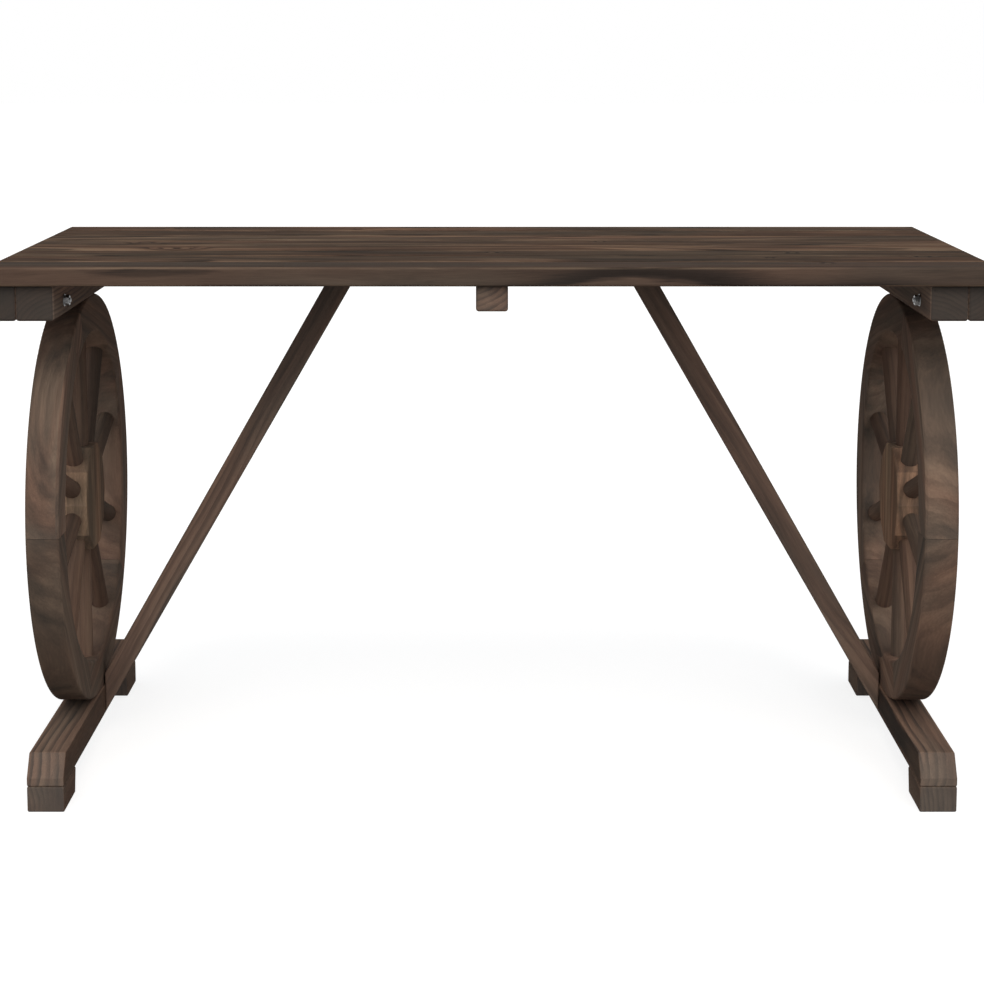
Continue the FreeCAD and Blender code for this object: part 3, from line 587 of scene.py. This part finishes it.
def either_way(value, spread):
    """A value made a little larger or smaller, to one side or the other."""
    return value * dice.uniform(*spread) * dice.choice((-1, 1))


def box_of(piece):
    """The lowest and the highest corner of a piece."""
    return Vector(piece.bound_box[LOWEST_CORNER]), Vector(piece.bound_box[HIGHEST_CORNER])


def give_grain(piece, board, along, across, worn=False, knots=(), paleness=KNOT_PALENESS):
    """Dresses one piece: along is the grain's direction, and across lies in the board's wider face."""
    low, high = box_of(piece)
    along = Vector(along).normalized()
    through = along.cross(Vector(across)).normalized()
    across = through.cross(along)
    axes = (along, across, through)
    extent = [sum(abs(axis[i]) * (high - low)[i] / 2 for i in range(3)) for axis in axes]
    piece["grain_start"] = list((low + high) / 2)
    piece["grain_turn"] = list(Matrix(axes).transposed().to_euler("XYZ"))
    piece["grain_seed"] = [dice.uniform(0, room) for room in SEED_ROOM]
    heart = [either_way(distance, HEART_SPREAD) for distance in board.heart]
    piece["grain_heart"] = [either_way(board.lean, LEAN_SPREAD), *heart]
    piece["board_half"] = list(extent if worn else NO_EDGE)
    piece["board_stain"] = [board.tone * dice.uniform(*TONE_SPREAD), board.contrast, board.ring]
    piece["board_figure"] = list(board.figure)
    piece["board_end"] = [*board.end, paleness]
    piece["side_change"] = board.side
    for name, knot in zip(KNOT_NAMES, [*knots, NO_KNOT, NO_KNOT]):
        piece[name] = list(knot)
    piece.data.materials.clear()
    piece.data.materials.append(woods[board.wood])


print("grain seed", GRAIN_SEED)

# %% [markdown]
# The slats. Eight boards lie side by side along the table, with worn edges and a few small knots. Placing
# every knot by hand would take long and look too even, so most fall where the seeded generator puts them.
# Two things stand out on the real top and are given one by one: a pair of pale knots in the fourth slat, and
# a dark figure that swings along the front slat. That slat's seed and heart are fixed, so the figure stays
# where it is.

# %% The slats
SLAT = Board("top_wood", tone=0.87, contrast=1.3, ring=0.0075, heart=(0.02, 0.075))
# The front slat takes the cool painted shade of the boards under the top.
FRONT_SLAT = Board("painted_shade_wood", tone=0.79, contrast=1.0, ring=0.012, heart=(0.10, 0.018), lean=0.01,
                   figure=(0.45, 0.4, -0.5))
FRONT_GRAIN = {"grain_seed": (5.562, 2.256, 1.629), "grain_heart": (-0.01, -0.10, 0.018)}
FRONT_NUMBER, PALE_NUMBER = 1, 4
PALE_KNOTS = [(-0.467, -0.012, 0.0085), (-0.443, -0.010, 0.0080)]
PALE_PALENESS = 2.0
KNOT_COUNTS = (0, 1, 2)
KNOT_ROOM_ALONG, KNOT_ROOM_ACROSS = (-0.62, 0.62), (-0.026, 0.026)
KNOT_RADII = (0.004, 0.008)


def random_knots():
    """A few small knots, anywhere on a slat's face: each has two places and a radius."""
    ranges = (KNOT_ROOM_ALONG, KNOT_ROOM_ACROSS, KNOT_RADII)
    return [[dice.uniform(*ends) for ends in ranges] for _ in range(dice.choice(KNOT_COUNTS))]


slats = [nodes[name] for name in sorted(nodes) if name.startswith("top_slat")]
for number, slat in enumerate(slats, start=1):
    board = FRONT_SLAT if number == FRONT_NUMBER else SLAT
    knots, paleness = random_knots(), KNOT_PALENESS
    if number == PALE_NUMBER:
        knots, paleness = PALE_KNOTS, PALE_PALENESS
    give_grain(slat, board, ALONG_TABLE, ACROSS_TABLE, worn=True, knots=knots, paleness=paleness)
for name, values in FRONT_GRAIN.items():
    slats[FRONT_NUMBER - 1][name] = list(values)
print(len(slats), "slats")

# %% [markdown]
# Beams, feet and braces. The grain runs along each timber. Only the braces slant. Their direction could be
# typed in, but read from their boxes it stays true if a size changes. The ends of the top beams face the
# camera: they drank the most stain and are dark grey, while the sloped toes of the base beams show bold
# lines and little grey. The base beams' sides get painted shade, darker than their tops, and the top
# beams' sides painted light.

# %% Beams, feet and braces
DARK_END, GREY_END, FAINT_END = (0.85, 0.50), (0.6, 0.95), (0.3, 1.2)
FOOT = Board("frame_wood", tone=1.3, contrast=0.8, ring=0.006, heart=(0.12, 0.01), end=GREY_END)
# Painted light on the top beams' sides and painted shade on the base beams' sides, through side.
BEAMS = {
    "top_beam": Board("painted_shade_wood", tone=1.4, contrast=0.7, ring=0.006, heart=(0.05, 0.07), end=DARK_END,
                      side=0.3),
    "end_batten": Board("painted_shade_wood", tone=1.2, contrast=0.7, ring=0.006, heart=(0.05, 0.07), end=DARK_END),
    "base_beam": Board("frame_wood", tone=1.6, contrast=1.1, ring=0.011, heart=(0.11, 0.01), lean=0.004,
                       figure=(0.5, 0.5, -0.35), end=FAINT_END, side=-0.42),
    "front_foot": FOOT,
    "rear_foot": FOOT,
}
CENTRE_BATTEN = Board("frame_wood", tone=1.28, contrast=0.9, ring=0.008, heart=(0.03, 0.06), end=FAINT_END)
BRACE = Board("painted_shade_wood", tone=1.45, contrast=0.8, ring=0.010, heart=(0.06, 0.03), lean=0.05,
              figure=(0.8, 1.1, -0.2))
SIDES = {"left": 1, "right": -1}

give_grain(nodes["centre_batten"], CENTRE_BATTEN, ACROSS_TABLE, ALONG_TABLE)
for side, inwards in SIDES.items():
    for name, board in BEAMS.items():
        give_grain(nodes[f"{side}_{name}"], board, ACROSS_TABLE, ALONG_TABLE)
    low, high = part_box(f"{side}_brace")
    reach, rise = inwards * (high.x - low.x), high.z - low.z
    give_grain(nodes[f"{side}_brace"], BRACE, (reach, 0, rise), (rise, 0, -reach))
print("beams, feet and braces on", len(SIDES), "sides")

# %% [markdown]
# The wheels. Each has a ten-sided hub, ten turned spokes and five felloes, the segments of the rim. Grain
# that follows the rim all the way round would look like bent wood. Felloes are sawn from plank, so their
# grain is straight and breaks at each joint: a felloe's middle, seen from the hub, gives a line square to
# it. The felloes come from different planks, so each has a tone of its own. The flat sides of the two in
# front get painted light, and so do the hub's facets that face front and back.

# %% The wheels
SOFT_FIGURE = (0.9, 0.9, -0.1)
# The hub's side setting is painted light on its facets that face front and back.
HUB = Board("hub_wood", tone=1.85, contrast=1.2, ring=0.010, heart=(0.03, 0.11), figure=SOFT_FIGURE,
            end=(0.1, 2.0), side=0.4)
SPOKE = Board("wheel_wood", tone=1.25, contrast=0.8, ring=0.008, heart=(0.09, 0.03), figure=SOFT_FIGURE)
FELLOE_TONES = (1.45, 1.2, 1.55, 1.8, 1.5)
# Painted light on the flat sides of the first two felloes.
FELLOE_PAINTED_SIDE_LIGHT = (0.3, 0.3, 0.0, 0.0, 0.0)
FELLOES = {
    f"felloe_{number}": Board("wheel_wood", tone=tone, contrast=0.8, ring=0.011, heart=(0.02, 0.10),
                              figure=SOFT_FIGURE, side=side_change)
    for number, (tone, side_change) in enumerate(zip(FELLOE_TONES, FELLOE_PAINTED_SIDE_LIGHT), start=1)
}


def outwards_from(hub, piece):
    """The direction from the hub's middle to a piece's middle, in the wheel's plane."""
    points = np.array([vertex.co for vertex in piece.data.vertices])
    direction = Vector(points.mean(axis=0)) - sum(box_of(hub), Vector()) / 2
    direction.x = 0
    return direction


for side in SIDES:
    wheel = f"{side}_wheel_"
    hub = nodes[f"{wheel}hub"]
    give_grain(hub, HUB, UPWARDS, ACROSS_TABLE)
    for name in sorted(name for name in nodes if name.startswith(wheel) and nodes[name] != hub):
        outwards = outwards_from(hub, nodes[name])
        felloe = FELLOES.get(name.removeprefix(wheel))
        if felloe:
            give_grain(nodes[name], felloe, Vector(ALONG_TABLE).cross(outwards), ALONG_TABLE)
        else:
            give_grain(nodes[name], SPOKE, outwards, ALONG_TABLE)
print("wheel pieces", sum("_wheel_" in name for name in nodes))

# %% [markdown]
# Zinc. The nuts and washers on the real table are zinc-plated steel: grey, a little blue, with the mottled
# bloom that plating gets outdoors. A plain metal would look like chrome, so a fine noise changes the colour
# and the roughness together, as on real plating.

# %% Zinc
ZINC_DARK, ZINC_PALE = (0.17, 0.175, 0.185, 1), (0.34, 0.34, 0.335, 1)
BLOOM_SCALE = (420, 420, 420)
ZINC_ROUGHNESS_LEAST, ZINC_ROUGHNESS_RANGE = 0.2, 0.3


def make_zinc():
    """Plated steel with a fine, uneven bloom."""
    material, tree, shader = new_material("zinc_plate")
    shader.inputs["Metallic"].default_value = 1.0
    bloom = noise(tree, add_node(tree, "TexCoord").outputs["Object"], BLOOM_SCALE)["Fac"]
    plug(tree, shader.inputs["Base Color"], colour_mix(tree, "MIX", bloom, ZINC_DARK, ZINC_PALE))
    roughness = math_node(tree, "MULTIPLY_ADD", bloom, ZINC_ROUGHNESS_RANGE, ZINC_ROUGHNESS_LEAST)
    plug(tree, shader.inputs["Roughness"], roughness)
    return material


zinc = make_zinc()
print("zinc", zinc.name)

# %% [markdown]
# Where the fasteners are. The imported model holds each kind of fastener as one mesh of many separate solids.
# The detailed ones have to sit in the same holes. A list of places could be typed in, but reading them from
# those solids keeps them true: vertices that edges join belong together, the long direction is the axis,
# and the widest ring of points tells which end has the head.

# %% Find the fasteners
WELD_DISTANCE = 0.00002
END_DEPTH = 0.0002
PLACE_DIGITS = 4
MM_IN_M = 1000
Fastener = namedtuple("Fastener", "top axis length seat widest")


def loose_solids(name):
    """The points of each separate solid of a node, in a steady order."""
    work = bmesh.new()
    work.from_mesh(nodes[name].data)
    bmesh.ops.remove_doubles(work, verts=work.verts, dist=WELD_DISTANCE)
    seen, solids = set(), []
    for first in work.verts:
        if first in seen:
            continue
        seen.add(first)
        chain = [first]
        for vertex in chain:
            others = [edge.other_vert(vertex) for edge in vertex.link_edges]
            fresh = [other for other in others if other not in seen]
            seen.update(fresh)
            chain += fresh
        solids.append(np.array([vertex.co for vertex in chain]))
    work.free()
    return sorted(solids, key=lambda points: tuple(points.mean(axis=0).round(PLACE_DIGITS)))


def measure(points, axis=None):
    """Where a fastener starts, where it points, and how long and wide it is; the head comes first."""
    if axis is None:
        axis = np.linalg.svd(points - points.mean(axis=0), full_matrices=False)[2][0]
    along = points @ axis
    ends = [points[abs(along - level) < END_DEPTH].mean(axis=0) for level in (along.min(), along.max())]
    axis = (ends[1] - ends[0]) / np.linalg.norm(ends[1] - ends[0])
    offset = points - ends[0]
    depth = offset @ axis
    width = np.linalg.norm(offset - np.outer(depth, axis), axis=1)
    length = depth.max()
    seat = depth[width > width.max() - END_DEPTH].mean()
    if seat > length / 2:
        return Fastener(Vector(ends[1]), Vector(-axis), length, length - seat, width.max())
    return Fastener(Vector(ends[0]), Vector(axis), length, seat, width.max())


for name in ("slat_screws", "frame_screws", "wheel_screws", "carriage_bolts"):
    lengths = [measure(points).length for points in loose_solids(name)]
    print(name, len(lengths), "of length", sorted({round(length * MM_IN_M, 1) for length in lengths}), "mm")

# %% [markdown]
# Turned shapes. Screws, bolts, washers and nuts are all turned on a lathe. Blender can spin or screw a
# profile with a modifier, but a head with a recess or a six-sided nut needs more than one outline, so one
# helper sets loops of points one below the other and another skins them. A thread is a small triangle swept
# along a helix round the core.

# %% Turned meshes and threads
COLUMNS = 24
FINE_COLUMNS = 48
THREAD_STEPS = 12
THREAD_ROOT_SHARE = 0.9
THREAD_HALF_SHARE = 0.28


def circle_loop(work, radius, height, columns=COLUMNS, shape=None):
    """Points round the axis, at one radius or at a radius that depends on the angle."""
    angles = [2 * math.pi * column / columns for column in range(columns)]
    radii = [shape(angle) if shape else radius for angle in angles]
    return [work.verts.new((r * math.cos(a), r * math.sin(a), height)) for r, a in zip(radii, angles)]


def skin(work, upper, lower):
    """A band of faces between two loops with equal numbers of points."""
    for index in range(len(upper)):
        following = (index + 1) % len(upper)
        work.faces.new((upper[index], lower[index], lower[following], upper[following]))


def skin_all(work, loops):
    """Bands of faces down a row of loops."""
    for upper, lower in zip(loops, loops[1:]):
        skin(work, upper, lower)


def add_thread(work, core, crest, pitch, start, end):
    """A ridge wound round the axis from one height down to another, with its ends run out."""
    steps = max(THREAD_STEPS, round((start - end) / pitch * THREAD_STEPS))
    root, half_width = core * THREAD_ROOT_SHARE, pitch * THREAD_HALF_SHARE
    rows = []
    for step in range(steps + 1):
        angle = 2 * math.pi * step / THREAD_STEPS
        height = start + (end - start) * step / steps
        run_out = min(1.0, step / THREAD_STEPS, (steps - step) / THREAD_STEPS)
        tip = core + (crest - core) * run_out
        row = [(root, height + half_width), (tip, height), (root, height - half_width)]
        rows.append([work.verts.new((r * math.cos(angle), r * math.sin(angle), z)) for r, z in row])
    skin_all(work, rows)
    work.faces.new(rows[0])
    work.faces.new(rows[-1])


print(COLUMNS, "columns round,", THREAD_STEPS, "steps in a turn of thread")

# %% [markdown]
# Screws. Countersunk wood screws hold the slats, the wheels, the feet and the braces, and their heads show
# from below. The cross in a head could be a bump in the material, but a recess that is real geometry
# catches the light from every side: the cross is a second outline inside the rim, the flat between the two
# is filled, and the cross is sunk.

# %% Screws
SHANK_SHARE, CORE_SHARE, NECK_SHARE, TIP_SHARE = 0.5, 0.72, 0.86, 0.12
RIM_SHARE, RIM_TOP_SHARE, RIM_FOOT_SHARE = 0.985, 0.03, 0.08
NECK_DEPTH_SHARE = 1.1
POINT_SHARE = 2.0
PITCH_SHARE = 1.24
THREADED_SHARE, THREAD_STOP_SHARE = 0.62, 1.4
CROSS_ARM_SHARE, CROSS_WIDTH_SHARE, CROSS_DEPTH_SHARE = 0.58, 0.13, 0.5
CROSS_FLOOR_ARM_SHARE, CROSS_FLOOR_WIDTH_SHARE = 0.6, 0.8


def cross_loop(work, arm, width, height):
    """The twelve corners of a cross."""
    quarter = [(arm, -width), (arm, width), (width, width)]
    corners = []
    for turn in range(4):
        corners += [Matrix.Rotation(turn * math.pi / 2, 2) @ Vector(corner) for corner in quarter]
    return [work.verts.new((corner.x, corner.y, height)) for corner in corners]


def make_screw(fastener):
    """A countersunk wood screw with a cross recess; it points down from the origin."""
    work = bmesh.new()
    head, length = fastener.widest, fastener.length
    shank = head * SHANK_SHARE
    core, neck = shank * CORE_SHARE, shank * NECK_SHARE
    arm, width = head * CROSS_ARM_SHARE, head * CROSS_WIDTH_SHARE
    rim = circle_loop(work, head * RIM_SHARE, 0)
    mouth = cross_loop(work, arm, width, 0)
    bottom = cross_loop(work, arm * CROSS_FLOOR_ARM_SHARE, width * CROSS_FLOOR_WIDTH_SHARE,
                        -head * CROSS_DEPTH_SHARE)
    edges = [work.edges.new((loop[i - 1], loop[i])) for loop in (rim, mouth) for i in range(len(loop))]
    bmesh.ops.triangle_fill(work, use_beauty=True, edges=edges)
    skin(work, mouth, bottom)
    work.faces.new(bottom)
    levels = [
        (head, -head * RIM_TOP_SHARE),
        (head, -head * RIM_FOOT_SHARE),
        (neck, neck - head),
        (core, -head * NECK_DEPTH_SHARE),
        (core, shank * POINT_SHARE - length),
        (core * TIP_SHARE, -length),
    ]
    loops = [rim] + [circle_loop(work, radius, height) for radius, height in levels]
    skin_all(work, loops)
    work.faces.new(loops[-1])
    thread_start, thread_end = -length * (1 - THREADED_SHARE), shank * THREAD_STOP_SHARE - length
    add_thread(work, core, shank, shank * PITCH_SHARE, thread_start, thread_end)
    return work


print("screw threads cover", THREADED_SHARE, "of the length")

# %% [markdown]
# Bolts, washers and nuts. Two carriage bolts tie each top beam to its end batten, with their domed heads
# outside and their washers and nuts on the inner side. The dome is a piece of a sphere, the washer a ring
# with soft edges, as stamped steel has, and the nut a hexagon. A plain six-sided prism would look like a
# toy: a real nut's corners are turned off at 30 degrees, so its corner points are let down by how far they
# stand out.

# %% Bolts
BOLT_SHANK_SHARE = 8 / 18
BOLT_THREADED_SHARE = 0.4
BOLT_SEAT_SHARE = 0.97
BOLT_ROOT_SHARE, BOLT_TIP_SHARE = 0.86, 0.62
BOLT_BEVEL_SHARE, BOLT_RUN_OUT_SHARE, BOLT_PITCH_SHARE = 0.2, 0.3, 0.31
DOME_STEPS = 8


def make_bolt(fastener):
    """A carriage bolt: a domed head, a plain shank and a threaded end; its crown is at the origin."""
    work = bmesh.new()
    head, height, length = fastener.widest, fastener.seat, fastener.length
    shank = head * BOLT_SHANK_SHARE
    root = shank * BOLT_ROOT_SHARE
    thread_top = -length * (1 - BOLT_THREADED_SHARE)
    dome = (head ** 2 + height ** 2) / (2 * height)
    sweep = math.asin(min(1.0, head / dome))
    angles = [sweep * step / DOME_STEPS for step in range(1, DOME_STEPS + 1)]
    levels = [(dome * math.sin(angle), dome * (math.cos(angle) - 1)) for angle in angles]
    levels += [
        (head * BOLT_SEAT_SHARE, -height),
        (shank, -height),
        (shank, thread_top),
        (root, thread_top - (shank - root)),
        (root, shank * BOLT_BEVEL_SHARE - length),
        (shank * BOLT_TIP_SHARE, -length),
    ]
    loops = [circle_loop(work, radius, z) for radius, z in levels]
    skin_all(work, loops)
    work.faces.new(loops[0])
    work.faces.new(loops[-1])
    add_thread(work, root, shank, shank * BOLT_PITCH_SHARE, thread_top, shank * BOLT_RUN_OUT_SHARE - length)
    return work


print("bolt threads cover", BOLT_THREADED_SHARE, "of the length")

# %% Washers and nuts
WASHER_BORE_SHARE, WASHER_SOFT_SHARE = 8.6 / 17, 0.28
NUT_BORE_SHARE, NUT_SINK_SHARE, NUT_TURNED_SHARE = 8 / 13, 0.14, 0.96
HALF_SIDE = math.pi / 6
CORNER_SLOPE = math.tan(math.radians(30))


def make_washer(fastener):
    """A stamped ring with soft edges; its upper face is at the origin."""
    work = bmesh.new()
    outer, thick = fastener.widest, fastener.length
    bore, soft = outer * WASHER_BORE_SHARE, thick * WASHER_SOFT_SHARE
    levels = [(bore, -soft), (bore + soft, 0), (outer - soft, 0), (outer, -soft), (outer, soft - thick),
              (outer - soft, -thick), (bore + soft, -thick), (bore, soft - thick)]
    loops = [circle_loop(work, radius, height, FINE_COLUMNS) for radius, height in levels]
    skin_all(work, loops + loops[:1])
    return work


def make_nut(fastener):
    """A hexagon nut with turned corners and a countersunk bore; its upper face is at the origin."""
    work = bmesh.new()
    thick = fastener.length
    flat = fastener.widest * math.cos(HALF_SIDE)
    turned, bore = flat * NUT_TURNED_SHARE, flat * NUT_BORE_SHARE
    sink = bore * NUT_SINK_SHARE

    def hexagon(angle):
        """How far a hexagon reaches at an angle."""
        return flat / math.cos((angle + HALF_SIDE) % (2 * HALF_SIDE) - HALF_SIDE)

    upper = circle_loop(work, flat, 0, FINE_COLUMNS, hexagon)
    lower = circle_loop(work, flat, -thick, FINE_COLUMNS, hexagon)
    for vertex in upper + lower:
        drop = (vertex.co.xy.length - turned) * CORNER_SLOPE
        vertex.co.z += -drop if vertex in upper else drop
    levels = [(turned, -thick), (bore + sink, -thick), (bore, sink - thick), (bore, -sink), (bore + sink, 0),
              (turned, 0)]
    rings = [circle_loop(work, radius, height, FINE_COLUMNS) for radius, height in levels]
    skin_all(work, [upper, lower, *rings, upper])
    return work


print("washers and nuts have", FINE_COLUMNS, "columns")

# %% [markdown]
# Dowels. The rim segments meet end to end, and a dowel glued into both keeps each joint closed. Bought
# dowels have chamfered ends and flutes that let the glue out. They are out of sight, so a wavy outline is
# enough.

# %% Dowels
FLUTES = 8
FLUTE_SHARE = 0.03
DOWEL_CHAMFER_SHARE = 0.25


def make_dowel(fastener):
    """A fluted dowel with chamfered ends."""
    work = bmesh.new()
    radius, length = fastener.widest, fastener.length
    chamfer = radius * DOWEL_CHAMFER_SHARE

    def fluted(angle):
        """How far the dowel reaches at an angle."""
        return radius * (1 - FLUTE_SHARE + FLUTE_SHARE * math.cos(FLUTES * angle))

    ends = [circle_loop(work, radius - chamfer, height, FINE_COLUMNS) for height in (0, -length)]
    walls = [circle_loop(work, radius, height, FINE_COLUMNS, fluted)
             for height in (-chamfer, chamfer - length)]
    skin_all(work, [ends[0], *walls, ends[1]])
    for end in ends:
        work.faces.new(end)
    return work


print("dowels have", FLUTES, "flutes")

# %% [markdown]
# Put them in. Each kind of fastener becomes one object again, so that it can stand for the node of the
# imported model. The shape is made once for each size, copied to every place and turned by a random angle,
# because nobody lines up the crosses of their screws. Smooth shading with sharp edges past 35 degrees keeps
# domes round and rims crisp.

# %% Set the fasteners
SMOOTH_ANGLE = math.radians(35)
TURN_SEED = 23
DOWNWARDS = (0, 0, -1)
turns = random.Random(TURN_SEED)


def place_of(fastener):
    """A matrix that takes a shape which points down from the origin to the fastener's place."""
    turn = Vector(DOWNWARDS).rotation_difference(fastener.axis).to_matrix().to_4x4()
    return Matrix.Translation(fastener.top) @ turn @ Matrix.Rotation(turns.uniform(0, 2 * math.pi), 4, "Z")


def shape_of(work):
    """The points and faces of a finished shape, with its faces turned outwards."""
    bmesh.ops.recalc_face_normals(work, faces=work.faces)
    work.verts.index_update()
    points = [vertex.co.copy() for vertex in work.verts]
    faces = [[vertex.index for vertex in face.verts] for face in work.faces]
    work.free()
    return points, faces


def set_fasteners(node, maker, axis=None):
    """One object with a detailed copy of every fastener in a node, in the node's place."""
    points, faces, shapes = [], [], {}
    for solid in loose_solids(node):
        fastener = measure(solid, axis)
        size = round(fastener.length, PLACE_DIGITS), round(fastener.widest, PLACE_DIGITS)
        if size not in shapes:
            shapes[size] = shape_of(maker(fastener))
        corners, loops = shapes[size]
        matrix = place_of(fastener)
        faces += [[index + len(points) for index in loop] for loop in loops]
        points += [matrix @ corner for corner in corners]
    mesh = bpy.data.meshes.new(node.removesuffix("s") + "_set")
    mesh.from_pydata(points, [], faces)
    mesh.shade_smooth()
    mesh.set_sharp_from_angle(angle=SMOOTH_ANGLE)
    piece = bpy.data.objects.new(mesh.name, mesh)
    scene.collection.objects.link(piece)
    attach(piece, "root")
    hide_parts(node)
    print(piece.name, len(points), "points,", len(faces), "faces")
    return piece


ALONG_BOLT = np.array(ALONG_TABLE, dtype=float)
for node, maker, axis in (("slat_screws", make_screw, None), ("frame_screws", make_screw, None),
                          ("wheel_screws", make_screw, None), ("carriage_bolts", make_bolt, None),
                          ("bolt_washers", make_washer, ALONG_BOLT), ("bolt_nuts", make_nut, ALONG_BOLT)):
    set_fasteners(node, maker, axis).data.materials.append(zinc)

# %% Set the dowels
DOWEL = Board("dowel_wood", tone=2.0, contrast=0.6, ring=0.003, heart=(0.05, 0.05))
dowels = set_fasteners("felloe_dowels", make_dowel)
bpy.context.view_layer.update()
give_grain(dowels, DOWEL, UPWARDS, ACROSS_TABLE)
print(dowels.name, "in", DOWEL.wood)
